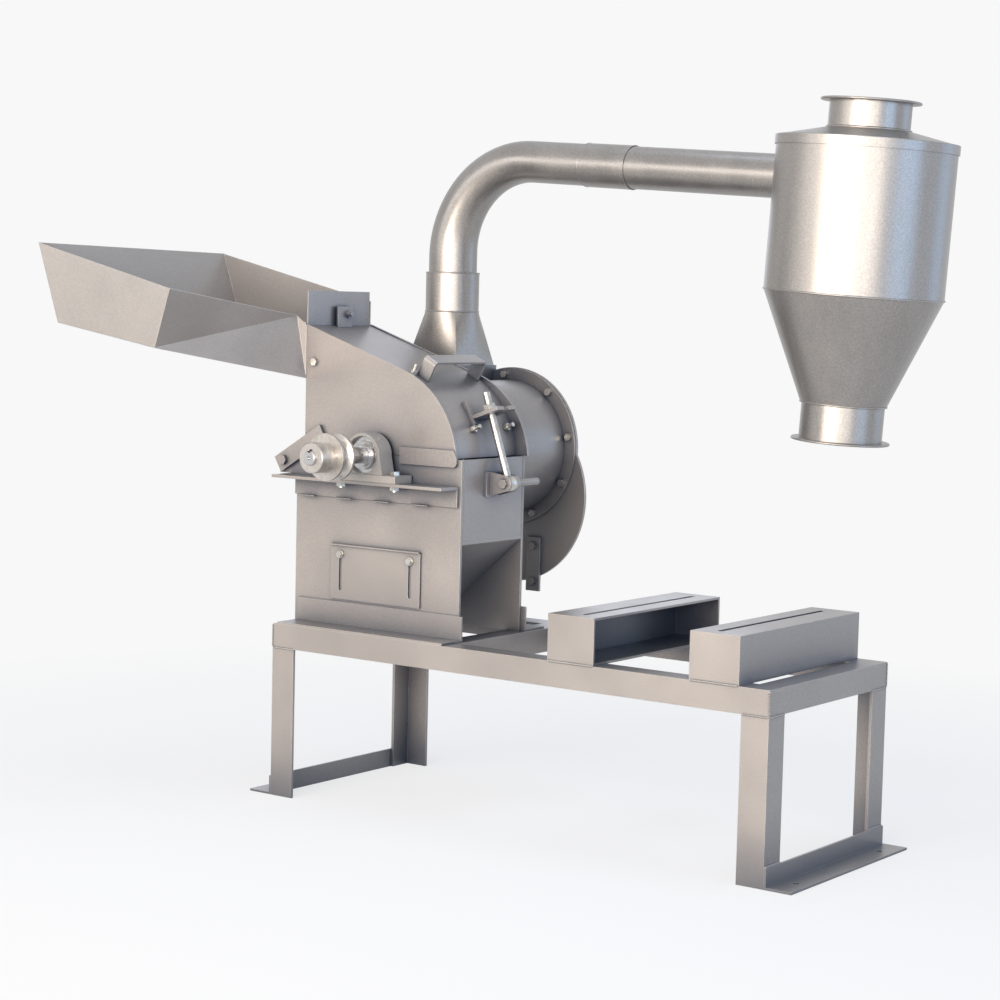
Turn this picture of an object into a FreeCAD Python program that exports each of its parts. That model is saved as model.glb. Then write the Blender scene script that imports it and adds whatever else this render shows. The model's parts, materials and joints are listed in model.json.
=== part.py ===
import FreeCAD, Part
import math
import os
import Sketcher
from FreeCAD import Vector

os.makedirs("parts", exist_ok=True)
doc = FreeCAD.newDocument("pulverizer")

# Driving dimensions in millimetres and degrees.
SIZES = [
    # base frame of welded angle
    ("frame_length", 1550), ("frame_width", 600), ("frame_height", 474),
    ("rail_size", 65), ("rail_wall", 6), ("leg_size", 75), ("leg_wall", 8),
    ("foot_width", 75), ("foot_height", 52), ("foot_wall", 6),
    ("floor_hole_diameter", 14), ("floor_hole_inset", 85), ("floor_hole_edge", 35),
    # motor rails
    ("motor_rail_width", 138), ("motor_rail_height", 119), ("motor_rail_wall", 6),
    ("left_motor_rail_at", 914), ("right_motor_rail_at", 1328),
    ("motor_slot_width", 14), ("motor_slot_setback", 57), ("motor_slot_margin", 45),
    # lower housing
    ("housing_width", 566), ("housing_depth", 280), ("housing_setback", 90),
    ("plate_wall", 8), ("panel_wall", 6), ("split_height", 950), ("split_gap", 1.5),
    ("right_panel_bottom", 732), ("ledge_over_liner", 5),
    ("base_angle_height", 67), ("base_angle_wall", 6), ("base_angle_overhang", 14),
    ("shelf_depth", 78), ("shelf_height", 55), ("shelf_wall", 8), ("shelf_overhang", 24),
    ("chute_angle", 41.4), ("chute_wall", 5),
    # discharge hatch
    ("hatch_left", 130), ("hatch_width", 308), ("hatch_bottom", 549), ("hatch_height", 150),
    ("hatch_wall", 4), ("hatch_slot_inset", 34), ("hatch_slot_length", 104),
    ("hatch_slot_width", 11), ("hatch_lip", 7), ("hatch_slot_drop", 22), ("slide_gap", 0.3),
    # hinged cover
    ("cover_inset", 26), ("cover_arc_radius", 256), ("cover_arc_offset", 5),
    ("cover_arc_drop", 20), ("cover_slope", 18.4), ("cover_wall", 4), ("side_wall", 6),
    ("rim_radius", 248), ("rim_offset", 51), ("rim_drop", 34), ("rim_lip", 3),
    ("throat_sill", 1144), ("strip_wall", 8), ("strip_width", 190), ("strip_height", 44),
    ("handle_angle", 27.5), ("handle_length", 225), ("handle_height", 58), ("handle_width", 41),
    ("handle_wall", 6), ("handle_setback", 30),
    ("corner_stud_in", 31), ("corner_stud_drop", 99),
    # hinge
    ("hinge_offset", 40), ("hinge_drop", 34), ("hinge_pin_radius", 8),
    ("arm_width", 46), ("arm_length", 160), ("arm_angle", 31), ("arm_wall", 10), ("arm_gap", 1),
    # feed hopper and gate
    ("hopper_length", 567), ("hopper_front", 452), ("hopper_wall", 3),
    ("hopper_rim_slope", 0.228), ("hopper_rim_height", 1355), ("hopper_lean", 0.36),
    ("hopper_depth", 187), ("hopper_mouth_rim", 1312), ("corner_back", 77),
    ("gate_wall", 4), ("gate_height", 190), ("gate_top", 1381), ("gate_lip", 15),
    # clamp
    ("clamp_lean", 19.2), ("clamp_pivot_out", 51), ("clamp_pivot_drop", 64),
    ("clamp_reach", 198), ("clamp_rod_length", 250), ("clamp_rod_radius", 10),
    ("fork_wall", 10), ("fork_rib", 13), ("fork_width", 84), ("fork_out", 52), ("fork_slot_width", 23),
    ("nut_flats", 30), ("nut_height", 16), ("eye_rim", 11),
    # shaft line
    ("shaft_radius", 30), ("shaft_nose_radius", 19), ("shaft_neck_radius", 22),
    ("shaft_neck_length", 95), ("bearing_centre_height", 69.8),
    ("pulley_radius", 62), ("pulley_rim_width", 49), ("pulley_hub_radius", 40),
    ("pulley_hub_length", 105), ("pulley_back", 77), ("shaft_nose_out", 8),
    ("shaft_tail", 100), ("key_width", 10), ("key_height", 8),
    ("fit_gap", 0.05), ("rotor_radius", 215), ("disc_radius", 175), ("disc_wall", 12),
    ("beater_wall", 14), ("beater_span", 150), ("liner_radius", 234), ("liner_wall", 10),
    ("bearing_base_length", 241), ("bearing_base_width", 70), ("bearing_bolt_pitch", 184),
    ("bearing_body_radius", 58), ("insert_radius", 50), ("insert_face_radius", 39),
    # fan
    ("fan_radius", 190), ("fan_front", 495), ("fan_depth", 205), ("fan_wall", 3),
    ("fan_neck_radius", 150), ("outlet_size", 180), ("outlet_top", 1180),
    ("outlet_margin", 5), ("ring_width", 34), ("ring_wall", 8), ("back_plate_wall", 8),
    ("bracket_depth", 105), ("bracket_drop", 95), ("duct_setback", 110),
    ("lobe_radius", 252), ("lobe_drop", 138), ("impeller_radius", 165), ("eye_radius", 120),
    # duct and cyclone
    ("collar_radius", 76.5), ("collar_bottom", 1332), ("collar_top", 1440),
    ("duct_wall", 2), ("elbow_start_radius", 69), ("pipe_radius", 57.5),
    ("bend_radius", 260), ("bend_start", 1494), ("duct_sag", 3.6),
    ("sleeve_start", 186), ("sleeve_length", 148), ("pipe_joint", 250), ("cyclone_at", 1113),
    ("cyclone_radius", 222), ("cyclone_wall", 3), ("cyclone_top", 91),
    ("cyclone_shell_height", 374), ("cone_height", 271), ("cone_bottom_radius", 107),
    ("spout_radius", 103), ("spout_length", 95), ("spout_flange_radius", 120),
    ("outlet_neck_radius", 101), ("outlet_neck_height", 74), ("cover_rise", 27),
    ("outlet_flange_radius", 121.5), ("flange_wall", 6),
]

sheet = doc.addObject("Spreadsheet::Sheet", "sizes")
for row, (alias, number) in enumerate(SIZES, start=1):
    sheet.set("A%d" % row, alias)
    sheet.set("B%d" % row, str(number))
    sheet.setAlias("B%d" % row, alias)
doc.recompute()


class Dim:
    """A number together with the sheet expression that gives it."""

    def __init__(self, text, value):
        self.text = text
        self.value = value

    def __add__(self, other):
        other = dim(other)
        return Dim("(%s + %s)" % (self.text, other.text), self.value + other.value)

    def __radd__(self, other):
        return dim(other) + self

    def __sub__(self, other):
        other = dim(other)
        return Dim("(%s - %s)" % (self.text, other.text), self.value - other.value)

    def __rsub__(self, other):
        return dim(other) - self

    def __mul__(self, other):
        other = dim(other)
        return Dim("(%s * %s)" % (self.text, other.text), self.value * other.value)

    def __rmul__(self, other):
        return dim(other) * self

    def __truediv__(self, other):
        other = dim(other)
        return Dim("(%s / %s)" % (self.text, other.text), self.value / other.value)

    def __neg__(self):
        return Dim("(0 - %s)" % self.text, -self.value)


def dim(number):
    """Turn a plain number into a Dim."""
    if isinstance(number, Dim):
        return number
    return Dim("%.6g" % number if number >= 0 else "(0 - %.6g)" % -number, float(number))


def size(alias):
    """The named cell of the sheet."""
    return Dim("sizes.%s" % alias, float(sheet.get(alias)))


def dsin(angle):
    return Dim("sin(%s * 1 deg)" % angle.text, math.sin(math.radians(angle.value)))


def dcos(angle):
    return Dim("cos(%s * 1 deg)" % angle.text, math.cos(math.radians(angle.value)))


def dsqrt(square):
    return Dim("sqrt(%s)" % square.text, math.sqrt(square.value))


def origin_plane(body, role):
    """One of the body's own origin planes."""
    for feature in body.Origin.OriginFeatures:
        if feature.Role == role:
            return feature
    raise RuntimeError("no plane " + role)


def new_body(label):
    body = doc.addObject("PartDesign::Body", label)
    body.Label = label
    return body


def new_sketch(body, role, name, offset=None):
    """A sketch on an origin plane, moved along the plane's normal by offset."""
    sketch = body.newObject("Sketcher::SketchObject", name)
    sketch.AttachmentSupport = [(origin_plane(body, role), "")]
    sketch.MapMode = "FlatFace"
    if offset is not None:
        sketch.AttachmentOffset = FreeCAD.Placement(Vector(0, 0, offset.value), FreeCAD.Rotation())
        sketch.setExpression("AttachmentOffset.Base.z", offset.text)
    return sketch


def fix_point(sketch, geometry, point, x, y, name):
    """Hold a point at (x, y) from the sketch's origin."""
    at = sketch.addConstraint(Sketcher.Constraint("DistanceX", -1, 1, geometry, point, x.value))
    sketch.renameConstraint(at, name + "_x")
    sketch.setExpression("Constraints." + name + "_x", x.text)
    at = sketch.addConstraint(Sketcher.Constraint("DistanceY", -1, 1, geometry, point, y.value))
    sketch.renameConstraint(at, name + "_y")
    sketch.setExpression("Constraints." + name + "_y", y.text)


def draw_loop(sketch, points, tag="p"):
    """Close a loop of lines and arcs. A vertex is (x, y) or (x, y, radius): the edge that
    arrives at it is then an arc, anticlockwise for a positive radius."""
    points = [tuple(dim(v) for v in point) for point in points]
    ends = []
    count = len(points)
    for index in range(count):
        start = points[index - 1]
        stop = points[index]
        a = Vector(start[0].value, start[1].value, 0)
        b = Vector(stop[0].value, stop[1].value, 0)
        if len(stop) == 2:
            geometry = sketch.addGeometry(Part.LineSegment(a, b), False)
            ends.append((geometry, 1, 2))
            continue
        radius = abs(stop[2].value)
        turn = 1 if stop[2].value > 0 else -1
        chord = b - a
        height = math.sqrt(max(radius ** 2 - (chord.Length / 2) ** 2, 0))
        left = Vector(-chord.y, chord.x, 0)
        left.normalize()
        centre = (a + b) * 0.5 + left * height * turn
        first, last = (a, b) if turn > 0 else (b, a)
        begin = math.atan2(first.y - centre.y, first.x - centre.x)
        end = math.atan2(last.y - centre.y, last.x - centre.x)
        circle = Part.Circle(centre, Vector(0, 0, 1), radius)
        geometry = sketch.addGeometry(Part.ArcOfCircle(circle, begin, end), False)
        ends.append((geometry, 1, 2) if turn > 0 else (geometry, 2, 1))
        name = "%s%d_r" % (tag, index)
        if height < 1e-4 * radius:
            # A half circle: its centre lies on the chord.
            across = abs(chord.x) > abs(chord.y)
            kind, value = ("DistanceY", stop[1]) if across else ("DistanceX", stop[0])
            at = sketch.addConstraint(Sketcher.Constraint(kind, -1, 1, geometry, 3, value.value))
            text = value.text
        else:
            at = sketch.addConstraint(Sketcher.Constraint("Radius", geometry, radius))
            text = stop[2].text if turn > 0 else (-stop[2]).text
        sketch.renameConstraint(at, name)
        sketch.setExpression("Constraints." + name, text)
    for index in range(count):
        here = ends[index]
        after = ends[(index + 1) % count]
        sketch.addConstraint(Sketcher.Constraint("Coincident", here[0], here[2], after[0], after[1]))
        fix_point(sketch, here[0], here[2], points[index][0], points[index][1], "%s%d" % (tag, index))


def draw_circle(sketch, x, y, radius, tag):
    x, y, radius = dim(x), dim(y), dim(radius)
    circle = Part.Circle(Vector(x.value, y.value, 0), Vector(0, 0, 1), radius.value)
    geometry = sketch.addGeometry(circle, False)
    at = sketch.addConstraint(Sketcher.Constraint("Radius", geometry, radius.value))
    sketch.renameConstraint(at, tag + "_r")
    sketch.setExpression("Constraints." + tag + "_r", radius.text)
    fix_point(sketch, geometry, 3, x, y, tag)


def box(x0, y0, x1, y1):
    """The four corners of a rectangle."""
    return [(x0, y0), (x1, y0), (x1, y1), (x0, y1)]


def draw(sketch, shapes):
    """Draw loops (lists) and circles (tuples of x, y, radius)."""
    for index, shape in enumerate(shapes):
        if isinstance(shape, list):
            draw_loop(sketch, shape, "loop%d_" % index)
        else:
            draw_circle(sketch, shape[0], shape[1], shape[2], "circle%d" % index)


def bind(feature, prop, value):
    value = dim(value)
    setattr(feature, prop, value.value)
    feature.setExpression(prop, value.text)


def place(body, x=0, y=0, z=0, lean=None):
    """Put the body at (x, y, z), turned about Y by lean degrees."""
    x, y, z = dim(x), dim(y), dim(z)
    turn = FreeCAD.Rotation()
    if lean is not None:
        turn = FreeCAD.Rotation(Vector(0, 1, 0), lean.value)
    body.Placement = FreeCAD.Placement(Vector(x.value, y.value, z.value), turn)
    body.setExpression("Placement.Base.x", x.text)
    body.setExpression("Placement.Base.y", y.text)
    body.setExpression("Placement.Base.z", z.text)
    if lean is not None:
        body.setExpression("Placement.Rotation.Angle", lean.text)


# Directions of growth that make every pad run towards +X, +Y or +Z.
REVERSED = {"XZ_Plane": True, "YZ_Plane": False, "XY_Plane": False}


def pad(body, role, shapes, length, start=None, name="pad"):
    """Pad a profile from start along the plane's positive world axis."""
    offset = None
    if start is not None:
        offset = -dim(start) if role == "XZ_Plane" else dim(start)
    sketch = new_sketch(body, role, name + "_sketch", offset)
    draw(sketch, shapes)
    feature = body.newObject("PartDesign::Pad", name)
    feature.Profile = sketch
    feature.Reversed = REVERSED[role]
    bind(feature, "Length", length)
    return feature


def pocket(body, role, shapes, length, start=None, name="pocket"):
    """Cut a profile from start along the plane's positive world axis."""
    offset = None
    if start is not None:
        offset = -dim(start) if role == "XZ_Plane" else dim(start)
    sketch = new_sketch(body, role, name + "_sketch", offset)
    draw(sketch, shapes)
    feature = body.newObject("PartDesign::Pocket", name)
    feature.Profile = sketch
    feature.Reversed = not REVERSED[role]
    bind(feature, "Length", length)
    return feature


def turn(body, role, shapes, name="turned", cut=False):
    """Revolve a profile about the sketch's vertical axis."""
    sketch = new_sketch(body, role, name + "_sketch")
    draw(sketch, shapes)
    kind = "PartDesign::Groove" if cut else "PartDesign::Revolution"
    feature = body.newObject(kind, name)
    feature.Profile = sketch
    feature.ReferenceAxis = (sketch, ["V_Axis"])
    feature.Angle = 360
    return feature


def group(label, shapes):
    """Separate solids that share one node."""
    feature = doc.addObject("Part::Feature", label)
    feature.Label = label
    feature.Shape = Part.makeCompound(shapes)
    return feature


parts = []

# Reference values shared by several pieces. X runs along the rails from the middle of
# the frame, Y runs from the front rail to the rear one, Z is up from the floor.
half_length = size("frame_length") / 2
half_width = size("frame_width") / 2
left = -half_length
right = half_length
front = -half_width
rear = half_width
deck = size("frame_height")
rail = size("rail_size")
rail_wall = size("rail_wall")
housing_left = left
housing_right = left + size("housing_width")
housing_front = front + size("housing_setback")
housing_rear = housing_front + size("housing_depth")
plate = size("plate_wall")
inner_front = housing_front + plate
inner_rear = housing_rear - plate
shaft_x = left + size("housing_width") / 2
shaft_z = size("split_height")
gap = size("slide_gap")

# Base frame: four rails of angle, the front and rear ones full length.
for label, y_out, inward in (("front_rail", front, 1), ("rear_rail", rear, -1)):
    body = new_body(label)
    outer = y_out
    inner = y_out + rail_wall * inward
    tip = y_out + rail * inward
    profile = [(outer, deck - rail), (inner, deck - rail), (inner, deck - rail_wall),
               (tip, deck - rail_wall), (tip, deck), (outer, deck)]
    pad(body, "YZ_Plane", [profile], size("frame_length"))
    place(body, x=left)
    parts.append(body)

for label, x_out, inward in (("left_end_rail", left, 1), ("right_end_rail", right, -1)):
    body = new_body(label)
    inner = x_out + rail_wall * inward
    tip = x_out + rail * inward
    profile = [(x_out, deck - rail), (inner, deck - rail), (inner, deck - rail_wall),
               (tip, deck - rail_wall), (tip, deck), (x_out, deck)]
    pad(body, "XZ_Plane", [profile], size("frame_width") - rail_wall * 2)
    # The top flange is coped back to let the long rails run through.
    cope = [(x_out, deck - rail_wall), (tip, deck - rail_wall), (tip, deck), (x_out, deck)]
    pocket(body, "XZ_Plane", [cope], rail - rail_wall, name="front_cope")
    pocket(body, "XZ_Plane", [cope], rail - rail_wall,
           start=size("frame_width") - rail_wall - rail, name="rear_cope")
    place(body, y=front + rail_wall)
    parts.append(body)

# Legs under the four corners.
leg = size("leg_size")
leg_wall = size("leg_wall")
for label, x_out, x_in, y_out, y_in in (
        ("front_left_leg", left, 1, front, 1), ("front_right_leg", right, -1, front, 1),
        ("rear_left_leg", left, 1, rear, -1), ("rear_right_leg", right, -1, rear, -1)):
    body = new_body(label)
    profile = [(x_out, y_out), (x_out + leg * x_in, y_out),
               (x_out + leg * x_in, y_out + leg_wall * y_in),
               (x_out + leg_wall * x_in, y_out + leg_wall * y_in),
               (x_out + leg_wall * x_in, y_out + leg * y_in), (x_out, y_out + leg * y_in)]
    pad(body, "XY_Plane", [profile], deck - rail)
    place(body)
    parts.append(body)

# Foot angles across the ends, drilled for the floor bolts.
foot_wall = size("foot_wall")
for label, x_in, outward in (("left_foot_angle", left, -1), ("right_foot_angle", right, 1)):
    body = new_body(label)
    wall_at = x_in + foot_wall * outward
    tip = x_in + size("foot_width") * outward
    profile = [(x_in, 0), (tip, 0), (tip, foot_wall), (wall_at, foot_wall),
               (wall_at, size("foot_height")), (x_in, size("foot_height"))]
    pad(body, "XZ_Plane", [profile], size("frame_width"))
    hole_x = tip - size("floor_hole_edge") * outward
    holes = [(hole_x, size("floor_hole_inset"), size("floor_hole_diameter") / 2),
             (hole_x, size("frame_width") - size("floor_hole_inset"),
              size("floor_hole_diameter") / 2)]
    pocket(body, "XY_Plane", [(x, y, r) for x, y, r in holes], foot_wall, name="floor_holes")
    place(body, y=front)
    parts.append(body)

# Cross angle under the housing's right end, between the rails' top flanges.
cross_x = housing_right + 20
body = new_body("cross_angle")
profile = [(cross_x, deck - rail), (cross_x, deck), (cross_x - rail, deck),
           (cross_x - rail, deck - rail_wall), (cross_x - rail_wall, deck - rail_wall),
           (cross_x - rail_wall, deck - rail)]
pad(body, "XZ_Plane", [profile], size("frame_width") - rail * 2)
place(body, y=front + rail)
parts.append(body)

# Motor rails: slotted channels with closed ends, open towards each other.
motor_wall = size("motor_rail_wall")
motor_top = deck + size("motor_rail_height")
for label, at, closed_left in (("left_motor_rail", "left_motor_rail_at", True),
                               ("right_motor_rail", "right_motor_rail_at", False)):
    body = new_body(label)
    x0 = left + size(at)
    x1 = x0 + size("motor_rail_width")
    back, mouth, inward = (x0, x1, 1) if closed_left else (x1, x0, -1)
    wall_at = back + motor_wall * inward
    profile = [(back, deck), (mouth, deck), (mouth, deck + motor_wall), (wall_at, deck + motor_wall),
               (wall_at, motor_top - motor_wall), (mouth, motor_top - motor_wall),
               (mouth, motor_top), (back, motor_top)]
    pad(body, "XZ_Plane", [profile], size("frame_width"))
    end = box(x0, deck, x1, motor_top)
    pad(body, "XZ_Plane", [end], motor_wall, name="front_end")
    pad(body, "XZ_Plane", [end], motor_wall, start=size("frame_width") - motor_wall, name="rear_end")
    slot_x = mouth - size("motor_slot_setback") * inward
    half_slot = size("motor_slot_width") / 2
    margin = size("motor_slot_margin")
    slot = [(slot_x - half_slot, margin), (slot_x + half_slot, margin, half_slot),
            (slot_x + half_slot, size("frame_width") - margin),
            (slot_x - half_slot, size("frame_width") - margin, half_slot)]
    pocket(body, "XY_Plane", [slot], motor_wall, start=motor_top - motor_wall, name="slot")
    place(body, y=front)
    parts.append(body)

# Lower housing: front and rear plates with half a shaft opening each.
split = size("split_height")
seal_radius = size("shaft_radius") + 15
neck_hole = size("fan_neck_radius") - 10
hinge_x = left - size("hinge_offset")
hinge_z = split - size("hinge_drop")
hinge_r = size("hinge_pin_radius")
ear_low = split - size("bearing_centre_height")
for label, y0, opening in (("housing_front_plate", housing_front, seal_radius),
                           ("housing_rear_plate", inner_rear, neck_hole)):
    body = new_body(label)
    outline = [(housing_left, deck), (housing_right, deck), (housing_right, split),
               (shaft_x + opening, split), (shaft_x - opening, split, -opening),
               (housing_left, split)]
    pad(body, "XZ_Plane", [outline], plate)
    if label == "housing_front_plate":
        mouth_left = left + size("hatch_left") + size("hatch_slot_inset") + 22
        mouth_right = mouth_left + size("hatch_width") - size("hatch_slot_inset") * 2 - 60
        mouth_bottom = size("hatch_bottom") + 8
        mouth = box(mouth_left, mouth_bottom, mouth_right, mouth_bottom + 84)
        pocket(body, "XZ_Plane", [mouth], plate, name="discharge_mouth")
    # Hinge ear with its pin, outside the left panel.
    pad(body, "XZ_Plane", [[(left + 1, ear_low), (left + 1, hinge_z + 24), (hinge_x, hinge_z + 22),
                            (hinge_x - 22, hinge_z, 22), (hinge_x - 22, ear_low)]], plate, name="ear")
    length = size("arm_wall") + size("arm_gap") + 10
    start = -length if label == "housing_front_plate" else plate - 1
    pad(body, "XZ_Plane", [(hinge_x, hinge_z, hinge_r)], length + 1, start=start, name="hinge_pin")
    if label == "housing_front_plate":
        head = [(hinge_x + 14 * math.cos(math.radians(60 * k)), hinge_z + 14 * math.sin(math.radians(60 * k)))
                for k in range(6)]
        pad(body, "XZ_Plane", [head], 8, start=start, name="pin_head")
    place(body, y=y0)
    parts.append(body)

# Left panel: full height, with a ledge along the split under the cover's edge.
panel = size("panel_wall")
span = inner_rear - inner_front
body = new_body("housing_left_panel")
ledge = size("housing_width") / 2 - size("liner_radius") - size("liner_wall") + size("ledge_over_liner")
profile = [(housing_left, deck), (housing_left + panel, deck), (housing_left + panel, split - panel),
           (housing_left + ledge, split - panel), (housing_left + ledge, split), (housing_left, split)]
pad(body, "XZ_Plane", [profile], span)
place(body, y=inner_front)
parts.append(body)

# Right panel: closes the grinding chamber only, the space below it is open.
body = new_body("housing_right_panel")
low = size("right_panel_bottom")
pad(body, "XZ_Plane", [box(housing_right - panel, low, housing_right, split)], span)
place(body, y=inner_front)
parts.append(body)

# Chute plate: slopes from the right panel down to the left, then runs level as the bin's floor.
body = new_body("chute_plate")
slope = size("chute_angle")
chute = size("chute_wall")
drop = low - deck - chute
run = drop * dcos(slope) / dsin(slope)
lift = chute / dcos(slope)
foot_x = housing_right - run
profile = [(housing_left + panel, deck), (foot_x, deck), (housing_right, low - chute),
           (housing_right, low), (housing_right - panel, low),
           (foot_x - chute, deck + chute), (housing_left + panel, deck + chute)]
pad(body, "XZ_Plane", [profile], span)
place(body, y=inner_front)
parts.append(body)

# Base angles: tie the housing's plates to the frame.
body = new_body("front_base_angle")
base_wall = size("base_angle_wall")
base_top = deck + size("base_angle_height")
over = size("base_angle_overhang")
profile = [(front, deck), (housing_front, deck), (housing_front, base_top),
           (housing_front - base_wall, base_top), (housing_front - base_wall, deck + base_wall),
           (front, deck + base_wall)]
pad(body, "YZ_Plane", [profile], size("housing_width"))
place(body, x=housing_left + over)
parts.append(body)

body = new_body("rear_base_angle")
tip = housing_rear + size("housing_setback")
profile = [(tip, deck), (tip, deck + base_wall), (housing_rear + base_wall, deck + base_wall),
           (housing_rear + base_wall, base_top), (housing_rear, base_top), (housing_rear, deck)]
pad(body, "YZ_Plane", [profile], size("housing_width"))
place(body, x=housing_left + over)
parts.append(body)

# Bearing shelf: angle with one leg against the front plate and one level.
shelf_top = shaft_z - size("bearing_centre_height")
shelf_wall = size("shelf_wall")
shelf_front = housing_front - size("shelf_depth")
body = new_body("bearing_shelf")
profile = [(shelf_front, shelf_top - shelf_wall), (housing_front - shelf_wall, shelf_top - shelf_wall),
           (housing_front - shelf_wall, shelf_top - size("shelf_height")),
           (housing_front, shelf_top - size("shelf_height")), (housing_front, shelf_top),
           (shelf_front, shelf_top)]
shelf_length = size("housing_width") + size("shelf_overhang") - 8
pad(body, "YZ_Plane", [profile], shelf_length)
clear_of_ear = box(-1, shelf_top - size("shelf_height") - 1, size("shelf_overhang"), shelf_top - shelf_wall)
pocket(body, "XZ_Plane", [clear_of_ear], size("shelf_depth") + 2, start=shelf_front - 1, name="ear_corner")
holes = [(size("shelf_overhang") + size("housing_width") / 2 + size("bearing_bolt_pitch") / 2 * side,
          front + 51, 8.4) for side in (-1, 1)]
pocket(body, "XY_Plane", holes, shelf_wall + 2, start=shelf_top - shelf_wall - 1, name="bolt_holes")
place(body, x=housing_left - size("shelf_overhang"))
parts.append(body)

# Discharge hatch: slides up on two bolts in vertical slots.
body = new_body("bin_hatch")
hatch_x = left + size("hatch_left")
hatch_z = size("hatch_bottom")
slot_w = size("hatch_slot_width") / 2
slot_top = hatch_z + size("hatch_height") - size("hatch_slot_drop")
slot_low = slot_top - size("hatch_slot_length")
slots = []
slot_xs = [hatch_x + size("hatch_slot_inset"),
           hatch_x + size("hatch_width") - size("hatch_slot_inset")]
for x in slot_xs:
    slots.append([(x - slot_w, slot_low + slot_w), (x + slot_w, slot_low + slot_w, slot_w),
                  (x + slot_w, slot_top - slot_w), (x - slot_w, slot_top - slot_w, slot_w)])
outline = box(hatch_x, hatch_z, hatch_x + size("hatch_width"), hatch_z + size("hatch_height"))
pad(body, "XZ_Plane", [outline] + slots, size("hatch_wall"))
hatch_top = hatch_z + size("hatch_height")
lip_strip = box(hatch_x, hatch_top - size("hatch_wall"), hatch_x + size("hatch_width"), hatch_top)
pad(body, "XZ_Plane", [lip_strip], size("hatch_lip") + 1, start=-size("hatch_lip"), name="lip")
place(body, y=housing_front - gap - size("hatch_wall"))
parts.append(body)

# Hatch bolts: washer and head of each bolt stand clear of the sliding hatch.
def hexagon(flats):
    """Corners of a hexagon with the given distance across flats."""
    radius = flats / math.sqrt(3)
    return [Vector(radius * math.cos(math.radians(60 * k)), radius * math.sin(math.radians(60 * k)), 0)
            for k in range(6)]


def hex_prism(flats, height):
    corners = hexagon(flats)
    return Part.Face(Part.makePolygon(corners + corners[:1])).extrude(Vector(0, 0, height))


def hex_bolt(at, axis, flats, head, radius, shank):
    """A bolt seated at a point: the head rises along the axis, the shank runs back."""
    shape = hex_prism(flats, head)
    if shank > 0:
        shape = shape.fuse(Part.makeCylinder(radius, shank, Vector(0, 0, -shank))).removeSplitter()
    shape.Placement = FreeCAD.Placement(at, FreeCAD.Rotation(Vector(0, 0, 1), axis))
    return shape


def ring(outer, inner, length, at, axis):
    return Part.makeCylinder(outer, length, at, axis).cut(Part.makeCylinder(inner, length, at, axis))


TO_FRONT = Vector(0, -1, 0)
bolt_z = slot_top - slot_w
bolts = []
hatch_out = (housing_front - gap * 2 - size("hatch_wall")).value
for x in slot_xs:
    washer = ring(11, 4.9, 2.5, Vector(x.value, hatch_out, bolt_z.value), TO_FRONT)
    bolt = hex_bolt(Vector(x.value, hatch_out - 2.5, bolt_z.value), TO_FRONT, 16, 7, 4.9,
                    2.5 + housing_front.value - hatch_out)
    bolts.append(bolt.fuse(washer))
parts.append(group("hatch_bolts", bolts))

# Lower liner: half ring of ribbed breaker plate below the rotor.
body = new_body("lower_liner")
liner_in = size("liner_radius")
liner_out = liner_in + size("liner_wall")
start_z = split - 6
reach_in = dsqrt(liner_in * liner_in - 36)
reach_out = dsqrt(liner_out * liner_out - 36)
outline = [(shaft_x - reach_out, start_z), (shaft_x, shaft_z - liner_out, liner_out),
           (shaft_x + reach_out, start_z, liner_out), (shaft_x + reach_in, start_z),
           (shaft_x, shaft_z - liner_in, -liner_in), (shaft_x - reach_in, start_z, -liner_in)]
pad(body, "XZ_Plane", [outline], span)
place(body, y=inner_front)
parts.append(body)

# Hinged cover. Its profile is a slope that runs into an arc round the rotor.
zb = split + size("split_gap")
cover_x = left + size("cover_inset")
arc_r = size("cover_arc_radius")
arc_x = shaft_x + size("cover_arc_offset")
arc_z = shaft_z - size("cover_arc_drop")
tilt = size("cover_slope")
wall = size("cover_wall")
lip = size("rim_lip")


def slope_start(x, centre_x, centre_z, radius):
    """Height at x of the line that leaves the arc along the slope."""
    return centre_z + radius * dcos(tilt) + (centre_x + radius * dsin(tilt) - x) * dsin(tilt) / dcos(tilt)


def arc_foot(centre_x, centre_z, radius):
    rise = zb - centre_z
    return centre_x + dsqrt(radius * radius - rise * rise)


def arc_top(centre_x, centre_z, radius):
    return (centre_x + radius * dsin(tilt), centre_z + radius * dcos(tilt))


inner_x = cover_x + wall
inner_r = arc_r - wall
top_out = slope_start(cover_x, arc_x, arc_z, arc_r)
body = new_body("cover_shell")
crown = arc_top(arc_x, arc_z, arc_r)
crown_in = arc_top(arc_x, arc_z, inner_r)
outline = [(cover_x, zb), (inner_x, zb), (inner_x, slope_start(inner_x, arc_x, arc_z, inner_r)),
           crown_in, (arc_foot(arc_x, arc_z, inner_r), zb, -inner_r),
           (arc_foot(arc_x, arc_z, arc_r), zb), (crown[0], crown[1], arc_r), (cover_x, top_out)]
pad(body, "XZ_Plane", [outline], span)
throat_front = plate + 4
throat_rear = size("housing_depth") - plate - 4
sill = size("throat_sill")
throat = box(throat_front - plate + inner_front, sill, throat_rear - plate + inner_front, top_out - 14)
pocket(body, "YZ_Plane", [[(y - inner_front, z) for y, z in throat]], wall, start=cover_x, name="throat")
place(body, y=inner_front)
parts.append(body)

lip_r = arc_r + lip
body = new_body("cover_front_plate")
crown_lip = arc_top(arc_x, arc_z, lip_r)
outline = [(cover_x, zb), (shaft_x - seal_radius, zb), (shaft_x + seal_radius, zb, -seal_radius),
           (arc_foot(arc_x, arc_z, lip_r), zb), (crown_lip[0], crown_lip[1], lip_r),
           (cover_x, slope_start(cover_x, arc_x, arc_z, lip_r))]
pad(body, "XZ_Plane", [outline], plate)
place(body, y=housing_front)
parts.append(body)

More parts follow.
